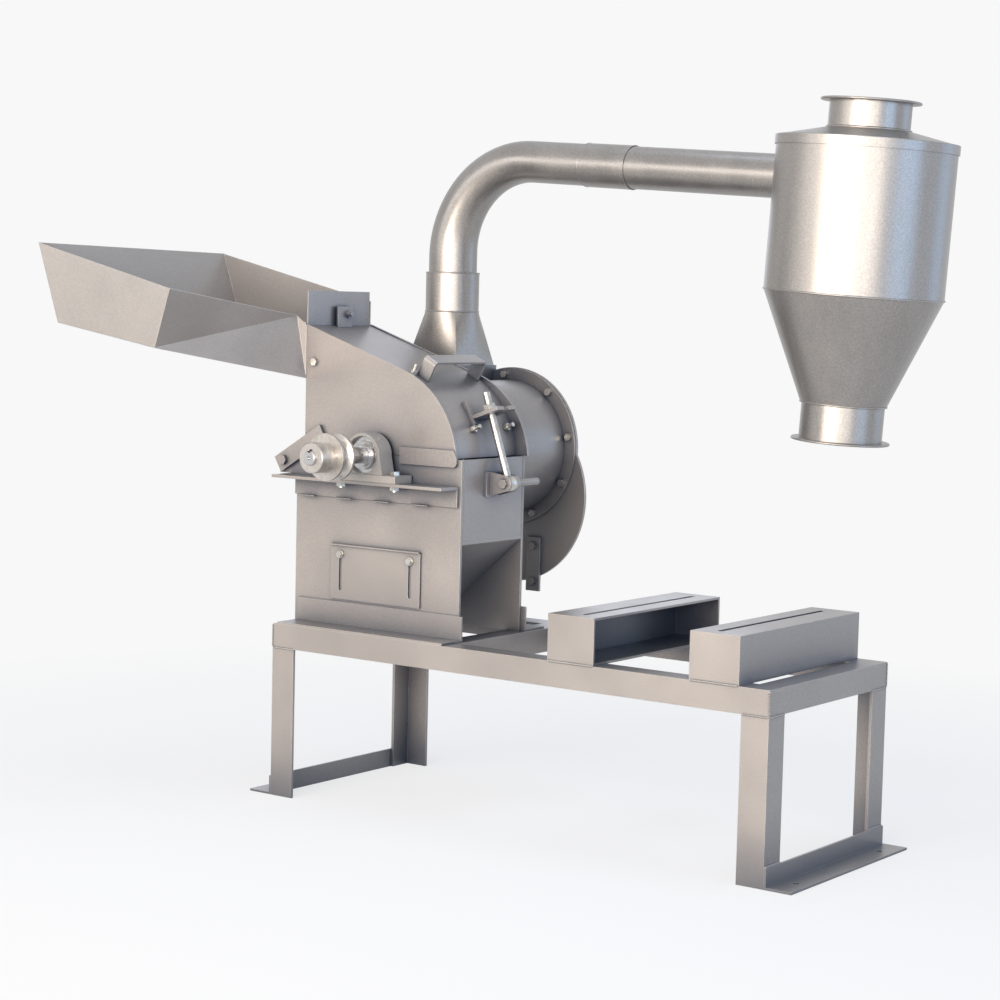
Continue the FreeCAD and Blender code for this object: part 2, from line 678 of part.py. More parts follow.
# The rear plate stands proud of the sheet on the right, with its own larger arc.
rim_r = size("rim_radius")
rim_x = shaft_x + size("rim_offset")
rim_z = arc_z + (lip_r - rim_r - (rim_x - arc_x) * dsin(tilt)) / dcos(tilt)
body = new_body("cover_rear_plate")
crown_rim = arc_top(rim_x, rim_z, rim_r)
outline = [(cover_x, zb), (shaft_x - neck_hole, zb), (shaft_x + neck_hole, zb, -neck_hole),
           (arc_foot(rim_x, rim_z, rim_r), zb), (crown_rim[0], crown_rim[1], rim_r),
           (cover_x, slope_start(cover_x, arc_x, arc_z, lip_r))]
pad(body, "XZ_Plane", [outline], plate)
place(body, y=inner_rear)
parts.append(body)

# Strip across the split, welded to the cover and relieved where it laps the lower plate.
body = new_body("split_strip")
strip = size("strip_wall")
strip_right = arc_foot(arc_x, arc_z, arc_r) + 10
strip_left = strip_right - size("strip_width")
strip_low = zb - size("strip_height") / 2
strip_top = zb + size("strip_height") / 2
pad(body, "XZ_Plane", [[(strip_left, strip_low), (strip_right - 12, strip_low),
                        (strip_right, strip_low + 12, 12), (strip_right, zb),
                        (strip_right - 12, strip_top), (strip_left, strip_top)]], strip)
pocket(body, "XZ_Plane", [box(strip_left - 1, strip_low - 1, strip_right + 1, zb)], gap,
       start=strip - gap, name="relief")
place(body, y=housing_front - strip)
parts.append(body)

# Handle: flat bar bent to a bow, standing square on the arc.
body = new_body("cover_handle")
handle_angle = size("handle_angle")
bar = size("handle_wall")
reach = size("handle_length")
rise = size("handle_height")
outline = [(0, 0), (bar, 0), (bar, rise - bar * 2), (bar * 2, rise - bar, -bar),
           (reach - bar * 2, rise - bar), (reach - bar, rise - bar * 2, -bar), (reach - bar, 0),
           (reach, 0), (reach, rise - bar * 2), (reach - bar * 2, rise, bar * 2),
           (bar * 2, rise), (0, rise - bar * 2, bar * 2)]
pad(body, "YZ_Plane", [outline], size("handle_width"), start=-size("handle_width") / 2)
place(body, x=arc_x + (arc_r + gap / 3) * dsin(handle_angle), y=housing_front + size("handle_setback"),
      z=arc_z + (arc_r + gap / 3) * dcos(handle_angle), lean=handle_angle)
parts.append(body)

# Clamp: forked plate on the cover, square to the swing bolt.
lean = -size("clamp_lean")
pivot_x = housing_right + size("clamp_pivot_out")
pivot_y = (housing_front + housing_rear) / 2
pivot_z = split - size("clamp_pivot_drop")
cos_l = dcos(size("clamp_lean"))
sin_l = dsin(size("clamp_lean"))
centre_v = (arc_x - pivot_x) * cos_l + (arc_z - pivot_z) * sin_l
centre_s = (arc_z - pivot_z) * cos_l - (arc_x - pivot_x) * sin_l


def on_sheet(height):
    """Distance from the bolt's axis to just clear of the sheet, at a height along the bolt."""
    radius = arc_r + gap / 3
    off = height - centre_s
    return centre_v + dsqrt(radius * radius - off * off)


clamp_reach = size("clamp_reach")
fork = size("fork_wall")
half_fork = size("fork_width") / 2
half_slot = size("fork_slot_width") / 2
fork_in = on_sheet(clamp_reach - fork)
body = new_body("clamp_fork")
pad(body, "XY_Plane", [[(fork_in, -half_fork), (size("fork_out"), -half_fork),
                        (size("fork_out"), -half_slot), (0, -half_slot), (0, half_slot, -half_slot),
                        (size("fork_out"), half_slot), (size("fork_out"), half_fork),
                        (fork_in, half_fork)]], fork, start=clamp_reach - fork)
rib_low = clamp_reach - 24
rib_top = clamp_reach + 42
radius = arc_r + gap / 3
rib = size("fork_rib")
pad(body, "XZ_Plane", [[(on_sheet(rib_low) + rib, rib_low), (on_sheet(rib_top) + rib, rib_top),
                        (on_sheet(rib_top), rib_top), (on_sheet(rib_low), rib_low, -radius)]],
    rib, start=-half_fork, name="rib")
place(body, x=pivot_x, y=pivot_y, z=pivot_z, lean=lean)
parts.append(body)

# Lug on the right panel with the pin that carries the swing bolt.
pin_r = size("clamp_rod_radius")
body = new_body("clamp_lug")
cheek = 8
jaw = 15.5
pad(body, "YZ_Plane", [box(-40, -36, 40, 28)], 8, name="base")
for name, y0 in (("front_cheek", -jaw - cheek), ("rear_cheek", dim(jaw))):
    pad(body, "XZ_Plane", [[(4, -36), (size("clamp_pivot_out"), -22),
                            (size("clamp_pivot_out"), 22, 22), (4, 28)]], cheek, start=y0, name=name)
place(body, x=housing_right, y=pivot_y, z=pivot_z)
pad(body, "XZ_Plane", [(size("clamp_pivot_out"), 0, pin_r)], 150, start=-jaw - cheek - 1, name="pin")
pad(body, "XZ_Plane", [[(size("clamp_pivot_out") + 13 * math.cos(math.radians(60 * k)),
                         13 * math.sin(math.radians(60 * k))) for k in range(6)]],
    8, start=-jaw - cheek - 8, name="pin_head")
parts.append(body)

# Swing bolt: eye and threaded rod.
body = new_body("swing_bolt")
pad(body, "XZ_Plane", [(0, 0, pin_r + size("eye_rim")), (0, 0, pin_r + gap)], 30, start=-15, name="eye")
pad(body, "XY_Plane", [(0, 0, size("clamp_rod_radius"))], size("clamp_rod_length") - 14, start=14,
    name="rod")
place(body, x=pivot_x, y=pivot_y, z=pivot_z, lean=lean)
parts.append(body)

body = new_body("swing_nut")
corners = [(size("nut_flats") * (math.cos(math.radians(60 * k)) / math.sqrt(3)),
            size("nut_flats") * (math.sin(math.radians(60 * k)) / math.sqrt(3))) for k in range(6)]
pad(body, "XY_Plane", [(0, 0, 21), (0, 0, pin_r + size("fit_gap"))], 3, start=clamp_reach, name="washer")
pad(body, "XY_Plane", [corners, (0, 0, pin_r + size("fit_gap"))], size("nut_height"),
    start=clamp_reach + 3, name="nut")
place(body, x=pivot_x, y=pivot_y, z=pivot_z, lean=lean)
parts.append(body)

# Hinge arms on the cover.
arm = size("arm_wall")
arm_half = size("arm_width") / 2
arm_shift = size("arm_gap")
for label, y0, pad_start in (("front_hinge_arm", housing_front - arm - arm_shift, arm),
                             ("rear_hinge_arm", housing_rear + arm_shift, -arm_shift)):
    body = new_body(label)
    length = size("arm_length")
    pad(body, "XZ_Plane", [box(-26, -arm_half, length, arm_half), (0, 0, hinge_r + gap)], arm)
    pad(body, "XZ_Plane", [box(length - 66, -arm_half, length, arm_half)], arm_shift,
        start=pad_start, name="spacer")
    place(body, x=hinge_x, y=y0, z=hinge_z, lean=-size("arm_angle"))
    parts.append(body)

# Feed hopper: folded tray, open at the top, with guide strips for the gate.
def folded(points, wall):
    """A flat facet of sheet, half its thickness to each side of its corners."""
    normal = (points[1] - points[0]).cross(points[2] - points[0])
    normal.normalize()
    corners = [p - normal * (wall / 2) for p in points]
    return Part.Face(Part.makePolygon(corners + corners[:1])).extrude(normal * wall)


def bend_line(a, b, wall):
    """Rounded bend between two facets."""
    return Part.makeCylinder(wall / 2 * 0.97, (b - a).Length, a, b - a)


hopper_wall = size("hopper_wall").value
cover_left = cover_x.value
hy0 = housing_front.value - size("hopper_front").value
hy1 = housing_front.value
hy2 = inner_rear.value - hopper_wall / 2
hx0 = cover_left - size("hopper_length").value
rim_slope = size("hopper_rim_slope").value
rim_z = size("hopper_rim_height").value
sill_z = sill.value
end_x = hx0 + 76
floor_slope = (rim_z + rim_slope * (cover_left - end_x) - size("hopper_depth").value - sill_z) \
    / (cover_left - end_x)
end_z = sill_z + floor_slope * (cover_left - end_x)
end_lean = (end_x - hx0) / (rim_z + rim_slope * (cover_left - hx0) + 8 - end_z)
corner_x = cover_left - size("corner_back").value
rim_a = Vector(hx0, hy0, end_z + (end_x - hx0) / end_lean)
rim_b_z = rim_a.z - 8
rim_b = Vector(end_x - (rim_b_z - end_z) * end_lean, hy2, rim_b_z)
rim_f = Vector(cover_left, hy2, rim_z)
rim_d = Vector(corner_x, hy0, rim_z + 22)
rim_e = Vector(cover_left - 36, hy1, size("hopper_mouth_rim").value)
rim_g = Vector(cover_left, hy1, top_out.value)
low_a = Vector(end_x, hy0, end_z)
low_b = Vector(end_x, hy2, end_z)
low_d = Vector(corner_x - 52, hy0, rim_d.z - 154)
low_f = Vector(cover_left, hy1, sill_z)
low_r = Vector(cover_left, hy2, sill_z)
facets = [[low_a, low_d, rim_d, rim_a], [low_b, low_r, rim_f, rim_b], [low_a, low_b, rim_b, rim_a],
          [low_a, low_f, low_r, low_b], [low_a, low_d, low_f], [low_d, rim_e, rim_d],
          [low_d, low_f, rim_e], [low_f, rim_g, rim_e]]
seams = [(low_a, low_d), (low_a, rim_a), (low_b, rim_b), (low_a, low_b), (low_a, low_f),
         (low_b, low_r), (low_d, low_f), (low_d, rim_d), (low_d, rim_e), (low_f, rim_e)]
hopper = folded(facets[0], hopper_wall)
for facet in facets[1:]:
    hopper = hopper.fuse(folded(facet, hopper_wall))
for a, b in seams:
    hopper = hopper.fuse(bend_line(a, b, hopper_wall))
for y0, y1, top in ((hy1, hy1 + 14, rim_g.z + 8), (hy2 - 12, hy2, rim_z - 4)):
    strip_box = Part.makeBox(7.2, y1 - y0, top - sill_z - 1, Vector(cover_left - 12, y0, sill_z + 1))
    hopper = hopper.fuse(strip_box)
hopper = hopper.cut(Part.makeBox(400, 900, 700, Vector(cover_left, hy0 - 50, sill_z - 200)))
hopper = hopper.removeSplitter()
feature = doc.addObject("Part::Feature", "feed_hopper")
feature.Label = "feed_hopper"
feature.Shape = hopper.Solids[0] if len(hopper.Solids) == 1 else hopper
parts.append(feature)

# Feed gate: flat plate in the guides, its top edge bent over as a grip.
body = new_body("feed_gate")
gate_wall = size("gate_wall")
gate_top = size("gate_top")
gate_low = gate_top - size("gate_height")
gate_y0 = housing_front + 4
gate_y1 = inner_rear - 6
gate_x = cover_x - gate_wall - 0.4
pad(body, "YZ_Plane", [box(0, gate_low, gate_y1 - gate_y0, gate_top)], gate_wall)
pad(body, "YZ_Plane", [box(20, gate_top - gate_wall, gate_y1 - gate_y0 - 20, gate_top)],
    size("gate_lip") + 1, start=-size("gate_lip"), name="grip")
place(body, x=gate_x, y=gate_y0)
parts.append(body)

# Gate clamp: upright tab on the slope with a screw that bears on the gate.
body = new_body("gate_clamp")


def slope_at(x):
    return slope_start(x, arc_x, arc_z, arc_r)


tab_x = cover_x + 8
tab_y = housing_front + 115
pad(body, "XZ_Plane", [[(tab_x, slope_at(tab_x)), (tab_x + 6, slope_at(tab_x + 6)),
                        (tab_x + 6, slope_at(tab_x) + 55), (tab_x, slope_at(tab_x) + 55)]], 60)
screw_z = slope_at(tab_x) + 34
pad(body, "YZ_Plane", [(42, screw_z, 6)], 30, start=cover_x - 0.1, name="screw")
pad(body, "YZ_Plane", [[(42 + 11 * math.cos(math.radians(60 * k)),
                         screw_z + 11 * math.sin(math.radians(60 * k))) for k in range(6)]], 9,
    start=tab_x + 6, name="nut")
place(body, y=tab_y)
parts.append(body)

# Studs and nuts on the cover.
studs = []
for angle, y, flats in ((21.9, 95, 19), (21.9, 243, 19), (68, 18, 16)):
    out = Vector(math.cos(math.radians(angle)), 0, math.sin(math.radians(angle)))
    at = Vector(arc_x.value, housing_front.value + y, arc_z.value) + out * (arc_r.value + gap.value)
    nut = hex_bolt(at, out, flats, 11, 5, 0)
    studs.append(nut.fuse(Part.makeCylinder(6, 28, at, out)).removeSplitter())
corner_at = Vector(cover_left + size("corner_stud_in").value, housing_front.value,
                   top_out.value - size("corner_stud_drop").value)
studs.append(hex_bolt(corner_at, TO_FRONT, 19, 8, 6, 0))
parts.append(group("cover_studs", studs))

# Main shaft, turned, with a key at the pulley.
shaft_r = size("shaft_radius")
nose_r = size("shaft_nose_radius")
back_y = front - size("pulley_back")
hub_end = back_y - size("pulley_hub_length")
nose_end = hub_end - size("shaft_nose_out")
shaft_end = front + size("fan_front") + size("fan_depth") + size("shaft_tail")
neck = size("shaft_neck_radius")
neck_end = back_y + size("shaft_neck_length")
body = new_body("main_shaft")
turn(body, "XY_Plane", [[(0, nose_end), (nose_r - 2, nose_end), (nose_r, nose_end + 2),
                         (nose_r, back_y), (neck, back_y), (neck, neck_end),
                         (shaft_r, neck_end), (shaft_r, shaft_end - 2),
                         (shaft_r - 2, shaft_end), (0, shaft_end)]])
pocket(body, "XZ_Plane", [(0, 0, 5)], 10, start=nose_end - 1, name="centre_hole")
key_w = size("key_width") / 2
key_z = nose_r + size("key_height") * 0.4
pocket(body, "XZ_Plane", [box(-key_w, nose_r - 5, key_w, nose_r + 1)], 26, start=nose_end,
       name="keyway")
pad(body, "XZ_Plane", [box(-key_w, nose_r - 3, key_w, key_z)], size("pulley_hub_length") - 20,
    start=hub_end + 18, name="key")
place(body, x=shaft_x, z=shaft_z)
parts.append(body)

# Drive pulley: one wide groove between two flanges, and a long hub.
fit = size("fit_gap")
hub_r = size("pulley_hub_radius")
rim = size("pulley_radius")
rim_start = back_y - size("pulley_rim_width")
body = new_body("drive_pulley")
outline = [(nose_r + fit, hub_end), (hub_r - 2, hub_end), (hub_r, hub_end + 2), (hub_r, rim_start),
           (rim, rim_start)]
outline += [(rim, rim_start + 8), (rim - 16, rim_start + 17), (rim - 16, back_y - 17), (rim, back_y - 8),
            (rim, back_y), (nose_r + fit, back_y)]
turn(body, "XY_Plane", [outline])
pocket(body, "XZ_Plane", [box(-key_w - 0.1, nose_r - 3, key_w + 0.1, key_z + 0.3)],
       size("pulley_hub_length"), start=hub_end, name="keyway")
place(body, x=shaft_x, z=shaft_z)
parts.append(body)

# Rotor spool: hub and two discs that hold the beaters between them.
disc = size("disc_wall")
disc_front = inner_front + 52
beat_len = size("beater_span") - disc
body = new_body("rotor_discs")
disc_r = size("disc_radius")
bore = shaft_r + fit
turn(body, "XY_Plane", [[(bore, disc_front - 8), (50, disc_front - 8), (50, disc_front),
                         (disc_r, disc_front), (disc_r, disc_front + disc), (50, disc_front + disc),
                         (50, disc_front + disc + beat_len), (disc_r, disc_front + disc + beat_len),
                         (disc_r, disc_front + disc * 2 + beat_len),
                         (50, disc_front + disc * 2 + beat_len),
                         (50, disc_front + disc * 2 + beat_len + 8),
                         (bore, disc_front + disc * 2 + beat_len + 8)]])
place(body, x=shaft_x, z=shaft_z)
parts.append(body)

beaters = []
beat_w = size("beater_wall").value
for k in range(6):
    block = Part.makeBox(size("rotor_radius").value - 110, beat_len.value, beat_w,
                         Vector(110, (disc_front + disc).value, -beat_w / 2))
    block.Placement = FreeCAD.Placement(Vector(shaft_x.value, 0, shaft_z.value),
                                        FreeCAD.Rotation(Vector(0, 1, 0), 60 * k + 12))
    beaters.append(block)
parts.append(group("beaters", beaters))

# Fan: scroll casing behind the chamber, joined to it by a round neck.
fan_front = front + size("fan_front")
fan_wall = size("fan_wall")
fan_back = fan_front + size("fan_depth")
ring_wall = size("ring_wall")
scroll_r = size("fan_radius")
outlet_left = left + size("outlet_margin") + 30
outlet_right = outlet_left + size("outlet_size")
big_r = shaft_x - outlet_left
big_z = shaft_z - scroll_r + big_r
top_z = size("outlet_top")


def scroll(offset, wall_offset, top):
    """The scroll's outline, its arcs moved outwards by an offset."""
    small = scroll_r + offset
    big = big_r + offset
    x_left = outlet_left - offset
    x_right = outlet_right + wall_offset
    reach = x_right - shaft_x
    return [(x_left, top), (x_left, big_z), (shaft_x, big_z - big, big), (shaft_x + small, shaft_z, small),
            (x_right, shaft_z + dsqrt(small * small - reach * reach), small), (x_right, top)]


body = new_body("fan_casing")
fan_depth = size("fan_depth")
pad(body, "XZ_Plane", [scroll(dim(0), dim(0), top_z), (shaft_x, shaft_z, size("eye_radius"))], fan_wall)
pad(body, "XZ_Plane", [scroll(dim(0), dim(0), top_z)], fan_depth - fan_wall, start=fan_wall,
    name="wrapper")
pocket(body, "XZ_Plane", [scroll(-fan_wall, -fan_wall, top_z + 1)], fan_depth - fan_wall, start=fan_wall,
       name="hollow")
trim = (fan_depth - size("outlet_size")) / 2 + 7.5
pad(body, "XY_Plane", [box(outlet_left, 0, outlet_right, fan_depth),
                       box(outlet_left + fan_wall, trim + fan_wall, outlet_right - fan_wall,
                           trim + size("outlet_size") - fan_wall)], fan_wall, start=top_z - fan_wall,
    name="outlet_rim")
neck_r = size("fan_neck_radius")
neck_length = fan_front - housing_rear - 0.5
pad(body, "XZ_Plane", [(shaft_x, shaft_z, neck_r), (shaft_x, shaft_z, neck_r - fan_wall)],
    neck_length, start=-neck_length, name="neck")
place(body, y=fan_front)
parts.append(body)

# Ring flange round the back of the scroll.
body = new_body("fan_ring")
ring_w = size("ring_width")
r_in = scroll_r + gap
r_out = scroll_r + ring_w
b_in = big_r + gap
b_out = big_r + ring_w
reach = outlet_right - shaft_x
ring_top = top_z - 30
pad(body, "XZ_Plane", [[
    (outlet_left - ring_w, ring_top), (outlet_left - ring_w, big_z), (shaft_x, big_z - b_out, b_out),
    (shaft_x + r_out, shaft_z, r_out),
    (outlet_right, shaft_z + dsqrt(r_out * r_out - reach * reach), r_out),
    (outlet_right, shaft_z + dsqrt(r_in * r_in - reach * reach)), (shaft_x + r_in, shaft_z, -r_in),
    (shaft_x, big_z - b_in, -r_in), (outlet_left - gap, big_z, -b_in), (outlet_left - gap, ring_top)]],
    ring_wall)
place(body, y=fan_back - ring_wall)
parts.append(body)

# Back plate: one plate over the scroll and the lobe below it.
body = new_body("fan_back_plate")
back_wall = size("back_plate_wall")
lobe_r = size("lobe_radius")
lobe_x = shaft_x + 6
lobe_z = shaft_z - size("lobe_drop")
upper_r = r_out + 2
d_x = lobe_x - shaft_x
d_z = lobe_z - shaft_z
between = dsqrt(d_x * d_x + d_z * d_z)
u_x = d_x / between
u_z = d_z / between
along_line = (upper_r * upper_r - lobe_r * lobe_r + between * between) / (between * 2)
off_line = dsqrt(upper_r * upper_r - along_line * along_line)
notch_x = shaft_x + u_x * along_line - u_z * off_line
notch_z = shaft_z + u_z * along_line + u_x * off_line
edge_x = outlet_left - ring_w
left_r = lobe_x - edge_x
corner = dsqrt(upper_r * upper_r - reach * reach)
pad(body, "XZ_Plane", [[
    (edge_x, top_z), (edge_x, lobe_z - lobe_r + left_r), (lobe_x, lobe_z - lobe_r, left_r),
    (notch_x, notch_z, lobe_r), (shaft_x, shaft_z + upper_r, upper_r),
    (outlet_right, shaft_z + corner, upper_r), (outlet_right, top_z)],
    (shaft_x, shaft_z, shaft_r + 4)], back_wall)
place(body, y=fan_back)
parts.append(body)

bolts = []
bolt_r = (scroll_r + ring_w / 2).value
for angle in (97, 51, 10, -27.5, -65.5):
    at = Vector(shaft_x.value + bolt_r * math.cos(math.radians(angle)), (fan_back - ring_wall).value,
                shaft_z.value + bolt_r * math.sin(math.radians(angle)))
    bolts.append(hex_bolt(at, TO_FRONT, 19, 9, 6, 0))
parts.append(group("ring_bolts", bolts))

body = new_body("fan_stay_bar")
bar_x = shaft_x + 67
bar_low = lobe_z - lobe_r - 22
pad(body, "XZ_Plane", [box(bar_x, bar_low, bar_x + 46, bar_low + 155)], 8)
for z in (bar_low + 28, bar_low + 130):
    pad(body, "XZ_Plane", [[(bar_x + 23 + 11 * math.cos(math.radians(60 * k)),
                             z + 11 * math.sin(math.radians(60 * k))) for k in range(6)]], 9, start=-9,
        name="bolt")
place(body, y=fan_back - 8)
parts.append(body)

# Impeller on the shaft behind the eye.
body = new_body("fan_impeller")
imp_r = size("impeller_radius")
imp_back = fan_back - 12
imp_front = fan_front + 30
turn(body, "XY_Plane", [[(bore, imp_front + 10), (50, imp_front + 10), (50, imp_back - 6),
                         (imp_r, imp_back - 6), (imp_r, imp_back), (bore, imp_back)]])
for k in range(6):
    a = math.radians(60 * k + 20)
    c, s = math.cos(a), math.sin(a)
    blade = [(46 * c + 2.5 * s, -46 * s + 2.5 * c), (46 * c - 2.5 * s, -46 * s - 2.5 * c)]
    blade += [(imp_r * c - 2.5 * s, imp_r * (-s) - 2.5 * c), (imp_r * c + 2.5 * s, imp_r * (-s) + 2.5 * c)]
    pad(body, "XZ_Plane", [blade], imp_back - 5 - imp_front, start=imp_front, name="blade")
place(body, x=shaft_x, z=shaft_z)
parts.append(body)

# Pillow-block bearings.
pitch = size("bearing_bolt_pitch") / 2
bear_l = size("bearing_base_length") / 2
bear_w = size("bearing_base_width")
insert_r = size("insert_radius")
centre_h = size("bearing_centre_height")
bear_r = size("bearing_body_radius")
front_bearing_y = front + 51
rear_bearing_y = shaft_end - 40
for label, at in (("front_bearing_housing", front_bearing_y), ("rear_bearing_housing", rear_bearing_y)):
    body = new_body(label)
    pad(body, "XZ_Plane", [box(-bear_l, -centre_h, bear_l, -centre_h + 20)], bear_w)
    pad(body, "XZ_Plane", [[(-bear_l + 52, -centre_h + 19), (bear_l - 52, -centre_h + 19),
                            (bear_r, 0), (0, bear_r, bear_r), (-bear_r, 0, bear_r)]],
        bear_w - 16, start=8, name="boss")
    pad(body, "XZ_Plane", [[(36, 38), (41, 43), (36, 48), (31, 43)]], 7, start=bear_w / 2 - 3.5,
        name="nipple")
    pocket(body, "XZ_Plane", [(0, 0, insert_r + fit)], bear_w, name="seat")
    holes = [(x, bear_w / 2, 8.5) for x in (-pitch, pitch)]
    pocket(body, "XY_Plane", holes, 22, start=-centre_h - 1, name="bolt_holes")
    place(body, x=shaft_x, y=at - bear_w / 2, z=shaft_z)
    parts.append(body)

inserts = []
for at in (front_bearing_y, rear_bearing_y):
    outer = ring(insert_r.value, bore.value, 28, Vector(shaft_x.value, at.value + 14, shaft_z.value),
                 TO_FRONT)
    inner = ring(size("insert_face_radius").value, bore.value, 50,
                 Vector(shaft_x.value, at.value + 25, shaft_z.value), TO_FRONT)
    inserts.append(outer.fuse(inner).removeSplitter())
parts.append(group("bearing_inserts", inserts))

UP = Vector(0, 0, 1)
bolts = []
for at in (front_bearing_y, rear_bearing_y):
    for side in (-1, 1):
        seat = Vector(shaft_x.value + side * pitch.value, at.value, shelf_top.value + 20)
        bolt = hex_bolt(seat, UP, 24, 10, 8, 20 + shelf_wall.value + 16)
        nut = hex_prism(24, 12)
        nut.translate(seat - Vector(0, 0, 20 + shelf_wall.value + 12))
        bolts.append(bolt.fuse(nut).removeSplitter())
parts.append(group("bearing_bolts", bolts))

body = new_body("rear_bearing_bracket")
bracket_l = bear_l + 12
pad(body, "XY_Plane", [box(-bracket_l, 0, bracket_l, size("bracket_depth"))], shelf_wall,
    start=-centre_h - shelf_wall)
web = box(-bracket_l, -centre_h - size("bracket_drop"), bracket_l, -centre_h - 1)
pad(body, "XZ_Plane", [web], 8, name="web")
for k, x0 in enumerate((-bracket_l + 6, bracket_l - 12)):
    pad(body, "YZ_Plane", [[(7, -centre_h - size("bracket_drop") + 7),
                            (size("bracket_depth") - 5, -centre_h - 12),
                            (size("bracket_depth") - 5, -centre_h - 1),
                            (7, -centre_h - 1)]], 6, start=x0, name="gusset")
pocket(body, "XY_Plane", [(x, rear_bearing_y - fan_back - back_wall, 8.4) for x in (-pitch, pitch)],
       shelf_wall + 2, start=-centre_h - shelf_wall - 1, name="bolt_holes")
place(body, x=shaft_x, y=fan_back + back_wall, z=shaft_z)
parts.append(body)

# Duct: square-to-round transition with a collar.
body = new_body("duct_transition")
duct_wall = size("duct_wall")
half_out = size("outlet_size") / 2
collar_r = size("collar_radius")
collar_low = size("collar_bottom")
duct_x = outlet_left + half_out + 3
duct_y = fan_front + size("duct_setback")


def transition(name, half, radius, additive, low, high):
    """Loft between a square and a circle of four arcs that start over its corners."""
    across = radius * math.cos(math.radians(45))
    first = new_sketch(body, "XY_Plane", name + "_square", low)
    draw(first, [box(-3 - half, -half, half - 3, half)])
    second = new_sketch(body, "XY_Plane", name + "_round", high)
    draw(second, [[(-across, -across, radius), (across, -across, radius), (across, across, radius),
                   (-across, across, radius)]])
    kind = "PartDesign::AdditiveLoft" if additive else "PartDesign::SubtractiveLoft"
    loft = body.newObject(kind, name)
    loft.Profile = first
    loft.Sections = [second]
    loft.Ruled = True
    return loft


transition("outer", half_out, collar_r, True, top_z, collar_low)
pad(body, "XY_Plane", [(0, 0, collar_r)], size("collar_top") - collar_low, start=collar_low,
    name="collar")
transition("inner", half_out - duct_wall, collar_r - duct_wall, False, top_z, collar_low)
pocket(body, "XY_Plane", [(0, 0, collar_r - duct_wall)], size("collar_top") - collar_low + 1,
       start=collar_low, name="collar_bore")
place(body, x=duct_x, y=duct_y)
parts.append(body)

# Elbow: tapering bend into the run of pipe.
bend_r = size("bend_radius").value
bend_z = size("bend_start").value
sag = size("duct_sag").value
r_start = size("elbow_start_radius").value
r_pipe = size("pipe_radius").value
wall_d = duct_wall.value
duct_mid = Vector(duct_x.value, duct_y.value, 0)


def bend_solid(inset):
    wires = []
    steps = 8
    for k in range(steps + 1):
        angle = math.radians((90 + sag) * k / steps)
        radius = r_start + (r_pipe - r_start) * k / steps - inset
        at = Vector(duct_mid.x + bend_r - bend_r * math.cos(angle), duct_mid.y,
                    bend_z + bend_r * math.sin(angle))
        way = Vector(math.sin(angle), 0, math.cos(angle))
        wires.append(Part.Wire(Part.makeCircle(radius, at, way)))
    return Part.makeLoft(wires, True, False)


last = math.radians(90 + sag)
joint = Vector(duct_mid.x + bend_r - bend_r * math.cos(last), duct_mid.y, bend_z + bend_r * math.sin(last))
along = Vector(math.sin(last), 0, math.cos(last))
tail = size("collar_top").value - 20
low_at = Vector(duct_mid.x, duct_mid.y, tail)
run_out = size("pipe_joint").value
lip_at = Vector(duct_mid.x, duct_mid.y, tail + 20)
outer = bend_solid(0).fuse(Part.makeCylinder(r_start, bend_z - tail, low_at, UP))
outer = outer.fuse(Part.makeCylinder(r_pipe, run_out, joint, along))
outer = outer.fuse(Part.makeCylinder(collar_r.value, 3, lip_at, UP))
inner = bend_solid(wall_d).fuse(Part.makeCylinder(r_start - wall_d, bend_z - tail, low_at, UP))
inner = inner.fuse(Part.makeCylinder(r_pipe - wall_d, run_out, joint, along))
elbow = outer.cut(inner).removeSplitter()
feature = doc.addObject("Part::Feature", "duct_elbow")
feature.Label = "duct_elbow"
feature.Shape = elbow.Solids[0] if len(elbow.Solids) == 1 else elbow
parts.append(feature)

# Sleeve, pipe and cyclone share a frame that sags with the duct.
sag_dim = size("duct_sag")
bend_dim = size("bend_radius")
joint_x = duct_x + bend_dim + bend_dim * dsin(sag_dim)
joint_z = size("bend_start") + bend_dim * dcos(sag_dim)
pipe_r = size("pipe_radius")


def hang(body, run, y):
    """Place a body on the sagging line at a distance from the elbow."""
    place(body, x=joint_x + run * dcos(sag_dim), y=y, z=joint_z - run * dsin(sag_dim), lean=sag_dim)


body = new_body("duct_sleeve")
pad(body, "YZ_Plane", [(0, 0, pipe_r + gap + 2), (0, 0, pipe_r + gap)], size("sleeve_length"))
hang(body, size("sleeve_start"), duct_y)
parts.append(body)

cyclone_r = size("cyclone_radius")
cyclone_wall = size("cyclone_wall")
at_run = size("cyclone_at")
inlet = cyclone_r - cyclone_wall - pipe_r
body = new_body("duct_pipe")
start_run = size("pipe_joint")
pad(body, "YZ_Plane", [(0, 0, pipe_r), (0, 0, pipe_r - duct_wall)], at_run - start_run - 30,
    start=start_run - at_run)
pocket(body, "XY_Plane", [(0, -inlet, cyclone_r + gap)], pipe_r * 2 + 20, start=-pipe_r - 10,
       name="saddle")
hang(body, at_run, duct_y)
parts.append(body)

